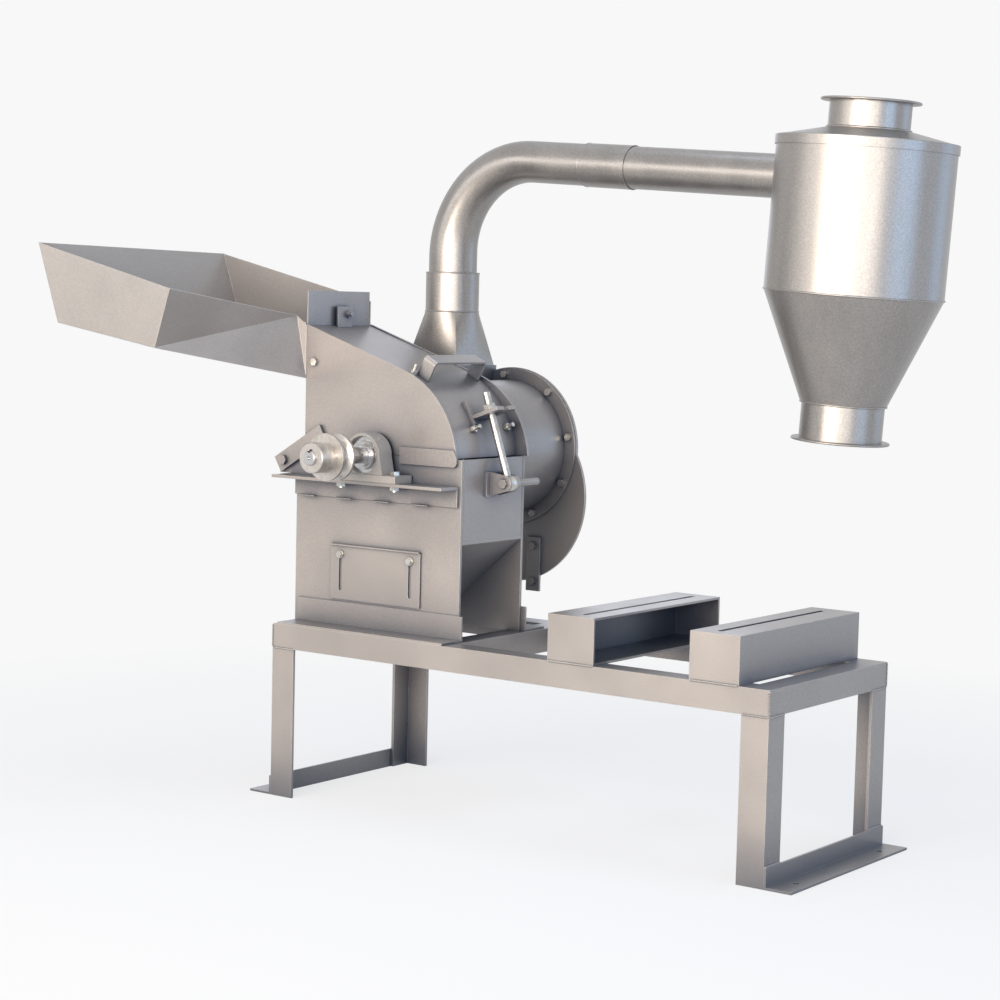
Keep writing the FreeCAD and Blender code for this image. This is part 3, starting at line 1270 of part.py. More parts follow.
# Cyclone: cylinder, cone and spout with a flange.
cyclone_y = duct_y - inlet
cy_top = size("cyclone_top")
cy_low = cy_top - size("cyclone_shell_height")
cone_low = cy_low - size("cone_height")
spout_low = cone_low - size("spout_length")
cone_r = size("cone_bottom_radius")
spout_r = size("spout_radius")
flange = size("flange_wall")
body = new_body("cyclone_shell")
turn(body, "XZ_Plane", [[
    (cyclone_r - cyclone_wall, cy_top), (cyclone_r - cyclone_wall, cy_low),
    (cone_r - cyclone_wall, cone_low), (spout_r - cyclone_wall, cone_low - 1),
    (spout_r - cyclone_wall, spout_low), (size("spout_flange_radius"), spout_low),
    (size("spout_flange_radius"), spout_low + flange), (spout_r, spout_low + flange),
    (spout_r, cone_low - 1), (cone_r, cone_low), (cyclone_r, cy_low), (cyclone_r, cy_top)]])
pocket(body, "YZ_Plane", [(inlet, 0, pipe_r + gap)], cyclone_r - 6, start=-cyclone_r - 10, name="inlet")
hang(body, at_run, cyclone_y)
parts.append(body)

body = new_body("cyclone_cover")
neck = size("outlet_neck_radius")
neck_in = neck - cyclone_wall
out_r = size("outlet_flange_radius")
skirt = cyclone_r + gap + 0.1
rise_z = cy_top + cyclone_wall + size("cover_rise")
neck_top = rise_z + size("outlet_neck_height") - 3
turn(body, "XZ_Plane", [[
    (neck_in, -120), (neck, -120), (neck, rise_z - cyclone_wall), (cyclone_r - 4, cy_top),
    (skirt, cy_top), (skirt, cy_top - 20), (skirt + 3, cy_top - 20), (skirt + 3, cy_top + cyclone_wall),
    (neck, rise_z), (neck, neck_top - flange), (out_r, neck_top - flange), (out_r, neck_top),
    (neck_in, neck_top)]])
hang(body, at_run, cyclone_y)
parts.append(body)

doc.recompute()

# Every object and every piece is checked before anything is written.
for item in doc.Objects:
    if "Invalid" in item.State or "Error" in item.State:
        raise RuntimeError("%s is in error" % item.Name)
for body in parts:
    if body.Shape.isNull() or not body.Shape.isValid() or not body.Shape.Solids:
        raise RuntimeError("%s has no valid shape" % body.Label)
os.makedirs("parts", exist_ok=True)
for body in parts:
    body.Shape.exportStep("parts/%s.step" % body.Label)
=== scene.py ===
import json
import math

import bpy
from bpy.props import FloatProperty, FloatVectorProperty, PointerProperty
from mathutils import Matrix, Vector


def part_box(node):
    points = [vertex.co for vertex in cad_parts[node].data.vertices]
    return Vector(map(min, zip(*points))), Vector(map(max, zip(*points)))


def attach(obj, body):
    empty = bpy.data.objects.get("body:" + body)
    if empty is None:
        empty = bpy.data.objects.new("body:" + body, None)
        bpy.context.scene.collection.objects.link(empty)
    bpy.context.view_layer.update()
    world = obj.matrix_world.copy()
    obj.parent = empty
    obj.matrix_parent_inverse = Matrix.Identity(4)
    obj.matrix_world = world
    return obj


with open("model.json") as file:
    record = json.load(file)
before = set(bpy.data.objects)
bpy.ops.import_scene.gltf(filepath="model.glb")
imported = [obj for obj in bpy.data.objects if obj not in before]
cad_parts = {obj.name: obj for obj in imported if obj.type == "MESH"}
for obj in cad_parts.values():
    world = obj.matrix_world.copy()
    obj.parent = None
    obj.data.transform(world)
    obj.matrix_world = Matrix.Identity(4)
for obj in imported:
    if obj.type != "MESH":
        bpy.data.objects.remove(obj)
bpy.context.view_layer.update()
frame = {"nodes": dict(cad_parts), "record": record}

bl_info = {
    "name": "Pulverizer Machine",
    "version": (1, 0, 0),
    "blender": (4, 5, 0),
    "location": "3D View > Sidebar > Pulverizer",
    "description": "Dresses the pulverizer's frame with its finishes, welds, threads and rims",
    "category": "Object",
}

BOXES = {name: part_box(name) for name in frame["nodes"]}
MM = 0.001


def low(node):
    """The low corner of a node's box."""
    return Vector(BOXES[node][0])


def high(node):
    """The high corner of a node's box."""
    return Vector(BOXES[node][1])


# Colours and materials

# Sockets of the Map Range and Mix nodes, by their order on the node.
FROM_LOW, FROM_HIGH, TO_LOW, TO_HIGH = 1, 2, 3, 4
FACTOR, COLOUR_A, COLOUR_B, MIXED = 0, 6, 7, 2

# Pattern scales, in repeats per metre, from the spacing on the real machine. Flakes, peel and
# grit are finer in life, and are drawn as coarse as they need to be to show.
PAINT_CLOUDS = 6.0      # passes of the spray gun, about 170 mm apart
PAINT_FLAKE = 420.0     # flakes in the enamel, drawn 2.4 mm apart
ORANGE_PEEL = 400.0     # dimples of sprayed enamel, 2.5 mm across
PLATE_WAVE = 9.0        # plate pulled by its welds, every 110 mm
ROLLING_STREAK = 14.0   # streaks of rolled sheet, 70 mm wide
LACQUER_FLAKE = 230.0   # flakes in the lacquer, drawn 4.3 mm apart
LACQUER_GRAIN = 500.0   # grain of the lacquer, 2 mm
SHEET_DENT = 7.0        # shallow dents of thin sheet, 140 mm apart
OIL_STAIN = 55.0        # oil and finger marks, 18 mm across
SAND_GRIT = 260.0       # skin of a sand casting, drawn 3.8 mm across
# Painted shade: recesses are darkened towards the blue-grey below, over this reach, in place of the shade
# that falls in them.
SHADE_REACH = 0.22       # metres over which a recess counts as closed in
PAINTED_SHADE_HEX = "#25364C"


def linear(hex_code):
    """Turn an sRGB hex value into linear RGBA."""
    values = []
    for start in (1, 3, 5):
        part = int(hex_code[start:start + 2], 16) / 255
        values.append(part / 12.92 if part <= 0.04045 else ((part + 0.055) / 1.055) ** 2.4)
    return (*values, 1.0)


def add_node(tree, kind, settings=None, links=None):
    """Add one shader node, set its sockets or properties, and link sockets to it."""
    node = tree.nodes.new(kind)
    for key, value in (settings or {}).items():
        if key in node.inputs if isinstance(key, str) else isinstance(key, int):
            node.inputs[key].default_value = value
        else:
            setattr(node, key, value)
    for key, socket in (links or {}).items():
        tree.links.new(socket, node.inputs[key])
    return node


def start_material(name):
    """A new material with a principled shader, and metre coordinates for its patterns."""
    material = bpy.data.materials.new(name)
    material.use_nodes = True
    tree = material.node_tree
    tree.nodes.clear()
    shader = add_node(tree, "ShaderNodeBsdfPrincipled")
    output = add_node(tree, "ShaderNodeOutputMaterial", None, {"Surface": shader.outputs["BSDF"]})
    output.is_active_output = True
    coords = add_node(tree, "ShaderNodeTexCoord")
    return material, tree, shader, coords.outputs["Object"]


def painted_steel(name, body_hex, cloud_hex, wear_and_highlight_hex, metallic, roughness, peel, shade_depth):
    """Silver-grey machine enamel sprayed on plate: flakes, faint clouds, orange peel, pale
    edges that are partly rubbed wear and partly a painted highlight, and recesses darkened towards blue-grey
    as painted shade."""
    material, tree, shader, place = start_material(name)
    clouds = add_node(tree, "ShaderNodeTexNoise", {"Scale": PAINT_CLOUDS, "Detail": 4.0}, {"Vector": place})
    flake = add_node(tree, "ShaderNodeTexNoise", {"Scale": PAINT_FLAKE, "Detail": 2.0}, {"Vector": place})
    tint = add_node(tree, "ShaderNodeMix",
                    {"data_type": "RGBA", COLOUR_A: linear(body_hex), COLOUR_B: linear(cloud_hex)},
                    {FACTOR: clouds.outputs["Fac"]})
    fleck = add_node(tree, "ShaderNodeMapRange",
                     {FROM_LOW: 0.35, FROM_HIGH: 0.7, TO_LOW: 0.86, TO_HIGH: 1.10},
                     {0: flake.outputs["Fac"]})
    flecked = add_node(tree, "ShaderNodeVectorMath", {"operation": "SCALE"},
                       {0: tint.outputs[MIXED], "Scale": fleck.outputs[0]})
    # The normal of a rounded edge leaves the face's own normal only near an edge, which marks
    #     where hands and tools have rubbed the paint and also paints a highlight where edges would catch the
    #     light.
    rounded = add_node(tree, "ShaderNodeBevel", {"samples": 4, "Radius": 1.6 * MM})
    face = add_node(tree, "ShaderNodeNewGeometry")
    match = add_node(tree, "ShaderNodeVectorMath", {"operation": "DOT_PRODUCT"},
                     {0: rounded.outputs["Normal"], 1: face.outputs["Normal"]})
    edge = add_node(tree, "ShaderNodeMapRange",
                    {FROM_LOW: 0.995, FROM_HIGH: 0.80, TO_LOW: 0.0, TO_HIGH: 1.0},
                    {0: match.outputs["Value"]})
    wear_and_highlight_amount = add_node(tree, "ShaderNodeMath", {"operation": "MULTIPLY", 1: 0.55}, {0: edge.outputs[0]})
    wear_and_highlight_mix = add_node(tree, "ShaderNodeMix", {"data_type": "RGBA", COLOUR_B: linear(wear_and_highlight_hex)},
                    {FACTOR: wear_and_highlight_amount.outputs[0], COLOUR_A: flecked.outputs[0]})
    # Painted shade: where ambient occlusion finds the surface closed in, the colour is pulled towards a dark
    # blue-grey that stands in for the shade in recesses.
    open_sky = add_node(tree, "ShaderNodeAmbientOcclusion", {"samples": 6, "Distance": SHADE_REACH})
    shade_amount = add_node(tree, "ShaderNodeMapRange",
                    {FROM_LOW: 0.30, FROM_HIGH: 0.95, TO_LOW: shade_depth, TO_HIGH: 0.0},
                    {0: open_sky.outputs["AO"]})
    shaded = add_node(tree, "ShaderNodeMix", {"data_type": "RGBA", COLOUR_B: linear(PAINTED_SHADE_HEX)},
                     {FACTOR: shade_amount.outputs[0], COLOUR_A: wear_and_highlight_mix.outputs[MIXED]})
    gloss = add_node(tree, "ShaderNodeMapRange",
                     {FROM_LOW: 0.3, FROM_HIGH: 0.7, TO_LOW: roughness - 0.05, TO_HIGH: roughness + 0.07},
                     {0: clouds.outputs["Fac"]})
    wave = add_node(tree, "ShaderNodeTexNoise", {"Scale": PLATE_WAVE, "Detail": 1.0}, {"Vector": place})
    warp = add_node(tree, "ShaderNodeBump", {"Strength": 0.25, "Distance": 1.2 * MM},
                    {"Height": wave.outputs["Fac"], "Normal": rounded.outputs["Normal"]})
    skin = add_node(tree, "ShaderNodeTexNoise", {"Scale": ORANGE_PEEL, "Detail": 1.0}, {"Vector": place})
    bump = add_node(tree, "ShaderNodeBump", {"Strength": peel, "Distance": 0.25 * MM},
                    {"Height": skin.outputs["Fac"], "Normal": warp.outputs["Normal"]})
    tree.links.new(shaded.outputs[MIXED], shader.inputs["Base Color"])
    tree.links.new(gloss.outputs[0], shader.inputs["Roughness"])
    tree.links.new(bump.outputs["Normal"], shader.inputs["Normal"])
    shader.inputs["Metallic"].default_value = metallic
    return material


def rolled_sheet(name, body_hex, streak_hex, roughness, metallic):
    """Rolled duct sheet in silver lacquer: soft streaks, fine flakes, slow dents, satin sheen."""
    material, tree, shader, place = start_material(name)
    stretch = add_node(tree, "ShaderNodeMapping", {"Scale": (1.0, 1.0, 0.12)}, {"Vector": place})
    streaks = add_node(tree, "ShaderNodeTexNoise", {"Scale": ROLLING_STREAK, "Detail": 5.0, "Roughness": 0.6},
                       {"Vector": stretch.outputs[0]})
    tint = add_node(tree, "ShaderNodeMix",
                    {"data_type": "RGBA", COLOUR_A: linear(body_hex), COLOUR_B: linear(streak_hex)},
                    {FACTOR: streaks.outputs["Fac"]})
    flake = add_node(tree, "ShaderNodeTexNoise", {"Scale": LACQUER_FLAKE, "Detail": 2.0}, {"Vector": place})
    fleck = add_node(tree, "ShaderNodeMapRange",
                     {FROM_LOW: 0.35, FROM_HIGH: 0.7, TO_LOW: 0.88, TO_HIGH: 1.10},
                     {0: flake.outputs["Fac"]})
    flecked = add_node(tree, "ShaderNodeVectorMath", {"operation": "SCALE"},
                       {0: tint.outputs[MIXED], "Scale": fleck.outputs[0]})
    gloss = add_node(tree, "ShaderNodeMapRange",
                     {FROM_LOW: 0.3, FROM_HIGH: 0.7, TO_LOW: roughness - 0.05, TO_HIGH: roughness + 0.08},
                     {0: streaks.outputs["Fac"]})
    rounded = add_node(tree, "ShaderNodeBevel", {"samples": 4, "Radius": 1.2 * MM})
    dents = add_node(tree, "ShaderNodeTexNoise", {"Scale": SHEET_DENT, "Detail": 1.0}, {"Vector": place})
    warp = add_node(tree, "ShaderNodeBump", {"Strength": 0.35, "Distance": 1.5 * MM},
                    {"Height": dents.outputs["Fac"], "Normal": rounded.outputs["Normal"]})
    grain = add_node(tree, "ShaderNodeTexNoise", {"Scale": LACQUER_GRAIN, "Detail": 2.0}, {"Vector": place})
    bump = add_node(tree, "ShaderNodeBump", {"Strength": 0.12, "Distance": 0.15 * MM},
                    {"Height": grain.outputs["Fac"], "Normal": warp.outputs["Normal"]})
    tree.links.new(flecked.outputs[0], shader.inputs["Base Color"])
    tree.links.new(gloss.outputs[0], shader.inputs["Roughness"])
    tree.links.new(bump.outputs["Normal"], shader.inputs["Normal"])
    shader.inputs["Metallic"].default_value = metallic
    return material


def bare_steel(name, body_hex, stain_hex, roughness, ring_scale):
    """Bare or plated steel: tool rings where it was turned, and darker handling stains."""
    material, tree, shader, place = start_material(name)
    stains = add_node(tree, "ShaderNodeTexNoise", {"Scale": OIL_STAIN, "Detail": 5.0}, {"Vector": place})
    stained = add_node(tree, "ShaderNodeMapRange",
                       {FROM_LOW: 0.42, FROM_HIGH: 0.72, TO_LOW: 0.0, TO_HIGH: 0.8},
                       {0: stains.outputs["Fac"]})
    tint = add_node(tree, "ShaderNodeMix",
                    {"data_type": "RGBA", COLOUR_A: linear(body_hex), COLOUR_B: linear(stain_hex)},
                    {FACTOR: stained.outputs[0]})
    rings = add_node(tree, "ShaderNodeTexWave", {"wave_type": "BANDS", "bands_direction": "Y",
                                                 "Scale": ring_scale, "Distortion": 0.4},
                     {"Vector": place})
    rounded = add_node(tree, "ShaderNodeBevel", {"samples": 4, "Radius": 0.8 * MM})
    bump = add_node(tree, "ShaderNodeBump", {"Strength": 0.15, "Distance": 0.1 * MM},
                    {"Height": rings.outputs["Fac"], "Normal": rounded.outputs["Normal"]})
    gloss = add_node(tree, "ShaderNodeMapRange", {TO_LOW: roughness, TO_HIGH: roughness + 0.22},
                     {0: stained.outputs[0]})
    tree.links.new(tint.outputs[MIXED], shader.inputs["Base Color"])
    tree.links.new(gloss.outputs[0], shader.inputs["Roughness"])
    tree.links.new(bump.outputs["Normal"], shader.inputs["Normal"])
    shader.inputs["Metallic"].default_value = 1.0
    return material


def grey_casting(name, body_hex, pit_hex, roughness):
    """Painted sand casting: grainy skin that the paint only half fills."""
    material, tree, shader, place = start_material(name)
    grit = add_node(tree, "ShaderNodeTexNoise", {"Scale": SAND_GRIT, "Detail": 4.0}, {"Vector": place})
    tint = add_node(tree, "ShaderNodeMix",
                    {"data_type": "RGBA", COLOUR_A: linear(pit_hex), COLOUR_B: linear(body_hex)},
                    {FACTOR: grit.outputs["Fac"]})
    rounded = add_node(tree, "ShaderNodeBevel", {"samples": 4, "Radius": 2.5 * MM})
    bump = add_node(tree, "ShaderNodeBump", {"Strength": 0.5, "Distance": 0.5 * MM},
                    {"Height": grit.outputs["Fac"], "Normal": rounded.outputs["Normal"]})
    tree.links.new(tint.outputs[MIXED], shader.inputs["Base Color"])
    tree.links.new(bump.outputs["Normal"], shader.inputs["Normal"])
    shader.inputs["Roughness"].default_value = roughness
    shader.inputs["Metallic"].default_value = 0.35
    return material


FINISHES = {}


def make_finishes():
    """Make each finish once. The rings of turned and plated steel are repeats per metre."""
    if FINISHES:
        return
    # Sprayed silver enamel on welded plate: a grey with a soft metallic sheen and visible flakes, and dark
    # painted shade in its recesses.
    FINISHES["enamel"] = painted_steel("silver_enamel", "#9C9794", "#AAA5A1", "#ECE9E5",
                                       0.46, 0.35, 0.55, 0.92)
    # The same enamel on the folded hopper, which is flatter and a little glossier, with much less painted
    # shade in its recesses.
    FINISHES["hopper"] = painted_steel("hopper_enamel", "#A09C99", "#ACA8A5", "#ECE9E5",
                                       0.46, 0.32, 0.25, 0.15)
    # Silver lacquer on rolled duct sheet: long bright bands that run with the curve.
    FINISHES["duct"] = rolled_sheet("silver_duct_sheet", "#8A8785", "#9E9B98", 0.33, 0.80)
    # Zinc-plated nuts, bolts and rod: cool and bright, dull where hands have been.
    FINISHES["zinc"] = bare_steel("zinc_plated_steel", "#C6C5C1", "#83817C", 0.30, 90.0)
    # Turned steel of the shaft and inserts: fine rings and sharp highlights.
    FINISHES["turned"] = bare_steel("turned_steel", "#C4C4C6", "#8C8A88", 0.24, 260.0)
    # Hot-rolled plate that grain has scoured: dark, dull and blotched.
    FINISHES["liner"] = bare_steel("worn_plate", "#7C7874", "#4E4A46", 0.45, 30.0)
    # Sand-cast bearing housing under the same paint: grainy and matt.
    FINISHES["casting"] = grey_casting("painted_casting", "#B5B2AE", "#8E8B88", 0.45)
    # Cast iron pulley machined all over: warmer grey than steel, with wider rings.
    FINISHES["pulley"] = bare_steel("machined_iron", "#BDBAB6", "#8D8985", 0.33, 180.0)


SLOT_FINISH = {"painted_steel": "enamel", "duct_steel": "duct", "zinc_steel": "zinc",
               "bright_steel": "turned", "liner_steel": "liner", "pulley_iron": "pulley",
               "cast_iron": "casting"}
NODE_FINISH = {"feed_hopper": "hopper", "rotor_discs": "liner", "beaters": "liner"}


# Modelling helpers

def only(obj):
    """Leave one object selected and active."""
    bpy.ops.object.select_all(action="DESELECT")
    obj.select_set(True)
    bpy.context.view_layer.objects.active = obj


def settle(obj, where, turn=None):
    """Write a place and turn into the mesh."""
    obj.rotation_mode = "QUATERNION"
    obj.location = where
    if turn is not None:
        obj.rotation_quaternion = turn
    only(obj)
    bpy.ops.object.transform_apply(location=True, rotation=True, scale=True)


def finish_piece(obj, name, body, finish, smooth=40):
    """Name a piece, shade it, give it its finish and the body it rides on."""
    make_finishes()
    obj.name = name
    obj.data.name = name
    only(obj)
    bpy.ops.object.shade_smooth_by_angle(angle=math.radians(smooth))
    obj.data.materials.clear()
    obj.data.materials.append(FINISHES[finish])
    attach(obj, body)
    return obj


def join(pieces):
    """Join pieces into the first."""
    bpy.ops.object.select_all(action="DESELECT")
    for piece in pieces:
        piece.select_set(True)
    bpy.context.view_layer.objects.active = pieces[0]
    if len(pieces) > 1:
        bpy.ops.object.join()
    return pieces[0]


DROP_PITCH = 3.5 * MM   # advance of the weld from one drop to the next
DROP_FLAT = 0.75        # a drop's length along the weld, as a share of its width


def weld_run(start, end, radius):
    """A straight fillet weld: overlapping flattened drops laid along a line."""
    start, end = Vector(start), Vector(end)
    way = end - start
    count = max(2, int(way.length / DROP_PITCH))
    bpy.ops.object.select_all(action="DESELECT")
    bpy.ops.mesh.primitive_uv_sphere_add(segments=8, ring_count=5, radius=radius)
    drop = bpy.context.object
    drop.scale = (1.0, 1.0, DROP_FLAT)
    bpy.ops.object.transform_apply(location=False, rotation=False, scale=True)
    array = drop.modifiers.new("run", "ARRAY")
    array.use_relative_offset = False
    array.use_constant_offset = True
    array.constant_offset_displace = (0, 0, way.length / count)
    array.count = count + 1
    bpy.ops.object.modifier_apply(modifier="run")
    settle(drop, start, Vector((0, 0, 1)).rotation_difference(way))
    return drop


def round_bead(centre, axis, radius, thickness, segments=96):
    """A bead that runs round a shell."""
    bpy.ops.object.select_all(action="DESELECT")
    bpy.ops.mesh.primitive_torus_add(major_radius=radius, minor_radius=thickness,
                                     major_segments=segments, minor_segments=10)
    obj = bpy.context.object
    settle(obj, centre, Vector((0, 0, 1)).rotation_difference(Vector(axis)))
    return obj


RIDGE = 0.55        # radius of the thread's ridge and how deep it sits in the rod, in pitches
RIDGE_SUNK = 0.12
TURN_STEPS = 20


def thread(base, axis, radius, length, pitch):
    """A thread ridge wound round a rod."""
    bpy.ops.object.select_all(action="DESELECT")
    bpy.ops.mesh.primitive_circle_add(vertices=3, radius=pitch * RIDGE, rotation=(math.pi / 2, 0, 0))
    ridge = bpy.context.object
    bpy.ops.object.transform_apply(location=False, rotation=True, scale=False)
    ridge.location = (radius - pitch * RIDGE_SUNK, 0, 0)
    bpy.ops.object.transform_apply(location=True, rotation=False, scale=False)
    screw = ridge.modifiers.new("wind", "SCREW")
    screw.axis = "Z"
    screw.screw_offset = pitch
    screw.iterations = max(2, int(length / pitch))
    screw.steps = TURN_STEPS
    screw.render_steps = TURN_STEPS
    screw.use_merge_vertices = False
    bpy.ops.object.modifier_apply(modifier="wind")
    settle(ridge, base, Vector((0, 0, 1)).rotation_difference(Vector(axis)))
    return ridge


# Sizes and colours that a user would change

class PulverizerSettings(bpy.types.PropertyGroup):
    weld_radius: FloatProperty(name="Weld radius", description="Half the width of a fillet weld",
                               default=0.0042, min=0.001, max=0.01, unit="LENGTH")
    bead_radius: FloatProperty(name="Bead radius", description="Half the width of a cyclone bead",
                               default=0.0028, min=0.001, max=0.01, unit="LENGTH")
    rod_pitch: FloatProperty(name="Thread pitch", description="Pitch of the swing bolt's thread",
                             default=0.002, min=0.001, max=0.004, unit="LENGTH")
    floor_colour: FloatVectorProperty(name="Floor", description="Colour of the floor and backdrop",
                                      subtype="COLOR", size=3, default=linear("#F8F8F8")[:3], min=0, max=1)
    key_power: FloatProperty(name="Key light", description="Power of the front panel light",
                             default=540.0, min=0.0, unit="POWER")


def settings():
    return bpy.context.scene.pulverizer


class PULVERIZER_OT_finishes(bpy.types.Operator):
    """Give every part of the frame its finish"""
    bl_idname = "pulverizer.finishes"
    bl_label = "Finishes"

    def execute(self, context):
        make_finishes()
        slots = {row["node"]: row["material_slot"] for row in frame["record"]["subparts"]}
        for node, obj in frame["nodes"].items():
            finish = NODE_FINISH.get(node, SLOT_FINISH[slots[node]])
            obj.data.materials.clear()
            obj.data.materials.append(FINISHES[finish])
        return {"FINISHED"}


# Each weld's radius, as a share of the one in the settings.
HEAD_WELD, FOOT_WELD, MOTOR_RAIL_WELD, CORNER_WELD = 0.7, 1.0, 0.8, 0.6


class PULVERIZER_OT_frame_welds(bpy.types.Operator):
    """Weld runs where legs, rails, feet and motor rails meet"""
    bl_idname = "pulverizer.frame_welds"
    bl_label = "Frame welds"

    def execute(self, context):
        r = settings().weld_radius
        runs = []
        # The legs' heads meet the rails along their outer faces.
        for leg in ("front_left_leg", "front_right_leg", "rear_left_leg", "rear_right_leg"):
            a, b = low(leg), high(leg)
            outer_y = a.y if "front" in leg else b.y
            outer_x = a.x if "left" in leg else b.x
            runs.append(((a.x + r, outer_y, b.z), (b.x - r, outer_y, b.z), r * HEAD_WELD))
            runs.append(((outer_x, a.y + r, b.z), (outer_x, b.y - r, b.z), r * HEAD_WELD))
        # The foot angles' upright legs are welded to the legs along their top edges.
        for side, x in (("left", low("front_left_leg").x), ("right", high("front_right_leg").x)):
            top = high("%s_foot_angle" % side).z
            for end in ("front", "rear"):
                leg = "%s_%s_leg" % (end, side)
                runs.append(((x, low(leg).y + r, top), (x, high(leg).y - r, top), r * FOOT_WELD))
        # The motor rails' ends sit on the base rails.
        for rail in ("left_motor_rail", "right_motor_rail"):
            a, b = low(rail), high(rail)
            for y in (a.y, b.y):
                runs.append(((a.x + r, y, a.z), (b.x - r, y, a.z), r * MOTOR_RAIL_WELD))
        # The base's four corners.
        a, b = low("front_rail"), high("front_rail")
        for y in (a.y, high("rear_rail").y):
            for x in (a.x, b.x):
                runs.append(((x, y, a.z + r), (x, y, b.z - r), r * CORNER_WELD))
        pieces = [weld_run(*run) for run in runs]
        finish_piece(join(pieces), "frame_welds", "machine", "enamel")
        return {"FINISHED"}


PANEL_WELD, SHELF_WELD = 0.7, 0.8
EDGE_SUNK = 0.3   # share of the weld's radius that it sits inside the panel's outer face
# The shelf's short welds: their count, their length, the first one's distance from the
# housing's left edge, and the length of the shelf left out when they are spaced.
STITCHES, STITCH, STITCH_START, STITCH_SPARE = 4, 0.05, 0.03, 0.04


class PULVERIZER_OT_housing_welds(bpy.types.Operator):
    """Weld runs round the lower housing"""
    bl_idname = "pulverizer.housing_welds"
    bl_label = "Housing welds"

    def execute(self, context):
        r = settings().weld_radius
        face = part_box("housing_left_panel")[0][1]
        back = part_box("housing_left_panel")[1][1]
        runs = []
        # The right panel's upright edges, where it meets the front and rear plates.
        a, b = low("housing_right_panel"), high("housing_right_panel")
        edge = b.x - r * EDGE_SUNK
        for y in (face, back):
            runs.append(((edge, y, a.z), (edge, y, b.z), r * PANEL_WELD))
        # The front base angle's top edge against the plate.
        start, end = low("front_base_angle").x + r, b.x - r
        top = high("front_base_angle")
        runs.append(((start, top.y, top.z), (end, top.y, top.z), r * PANEL_WELD))
        # The bearing shelf's leg is stitched to the front plate along its foot.
        plate, foot = low("housing_front_plate").y, low("bearing_shelf").z
        left = low("housing_left_panel").x
        step = (high("bearing_shelf").x - left - STITCH_SPARE) / STITCHES
        for number in range(STITCHES):
            x = left + STITCH_START + number * step
            runs.append(((x, plate, foot), (x + STITCH, plate, foot), r * SHELF_WELD))
        pieces = [weld_run(*run) for run in runs]
        finish_piece(join(pieces), "housing_welds", "machine", "enamel")
        return {"FINISHED"}


# The swing bolt leans back from its pin. Its thread shows below and above the nut: each stretch
# has its start along the rod, from the pin, and its length.
ROD_LEAN = math.radians(19.2)
ROD_PIVOT = Vector((-0.158, -0.070, 0.886))
ROD_ROOT = 0.0095
ROD_THREADS = ((0.137, 0.048), (0.218, 0.028))


class PULVERIZER_OT_rod_thread(bpy.types.Operator):
    """Thread on the swing bolt's rod, above and below its nut"""
    bl_idname = "pulverizer.rod_thread"
    bl_label = "Rod thread"

    def execute(self, context):
        axis = Vector((-math.sin(ROD_LEAN), 0, math.cos(ROD_LEAN)))
        pitch = settings().rod_pitch
        pieces = [thread(ROD_PIVOT + axis * start, axis, ROD_ROOT, length, pitch)
                  for start, length in ROD_THREADS]
        finish_piece(join(pieces), "rod_thread", "clamp", "zinc")
        return {"FINISHED"}


# The cyclone hangs on its inlet pipe, which falls a little towards it. Lengths run down the
# pipe from the elbow's end, and up and down the cyclone from the pipe's height.
PIPE_SAG = math.radians(3.6)
ELBOW_END = Vector((-0.37067, 0.305, 1.75349))
PIPE_TO_CYCLONE = 1.113
CYCLONE_SIDE = -0.1615
# Each bead has its height, its radius and its size as a share of the one in the settings: the
# cone's top and foot, the lid's rim, the neck's foot and rim, and the spout's rim.
CYCLONE_BEADS = ((-0.283, 0.222, 1.0), (-0.554, 0.107, 0.9), (0.092, 0.2215, 1.3),
                 (0.121, 0.1025, 1.2), (0.1885, 0.1210, 1.1), (-0.646, 0.120, 1.1))
# The upright duct below the elbow, with its collar's two beads, and the sleeve on the pipe.
DUCT_X = -0.647
COLLAR_BEADS = ((1.332, 0.0765, 0.8), (1.4415, 0.0755, 0.9))
SLEEVE_BEADS = (0.186, 0.334)
SLEEVE_RADIUS = 0.0592
SLEEVE_SIZE = 0.5


class PULVERIZER_OT_cyclone_beads(bpy.types.Operator):
    """Rolled and welded beads round the cyclone and ducts"""
    bl_idname = "pulverizer.cyclone_beads"
    bl_label = "Cyclone beads"

    def execute(self, context):
        up = Vector((math.sin(PIPE_SAG), 0, math.cos(PIPE_SAG)))
        along = Vector((math.cos(PIPE_SAG), 0, -math.sin(PIPE_SAG)))
        axis = ELBOW_END + along * PIPE_TO_CYCLONE + Vector((0, CYCLONE_SIDE, 0))
        r = settings().bead_radius
        pieces = [round_bead(axis + up * height, up, radius, r * size)
                  for height, radius, size in CYCLONE_BEADS]
        for height, radius, size in COLLAR_BEADS:
            centre = Vector((DUCT_X, ELBOW_END.y, height))
            pieces.append(round_bead(centre, (0, 0, 1), radius, r * size, 64))
        for run in SLEEVE_BEADS:
            pieces.append(round_bead(ELBOW_END + along * run, along, SLEEVE_RADIUS, r * SLEEVE_SIZE, 64))
        finish_piece(join(pieces), "duct_beads", "machine", "duct")
        return {"FINISHED"}


# The floor is matt and takes the shadow near the machine; further out it glows as the backdrop
# does, so the two meet without a line.
FLOOR_RADIUS = 60
NEAR, FAR = 1.0, 3.2
NEAR_GLOW, FAR_GLOW = 0.76, 1.0
NEAR_MATT, FAR_MATT = 0.26, 0.0

AIM = Vector((0.0, 0.0, 0.9))   # the middle of the machine, which every light faces
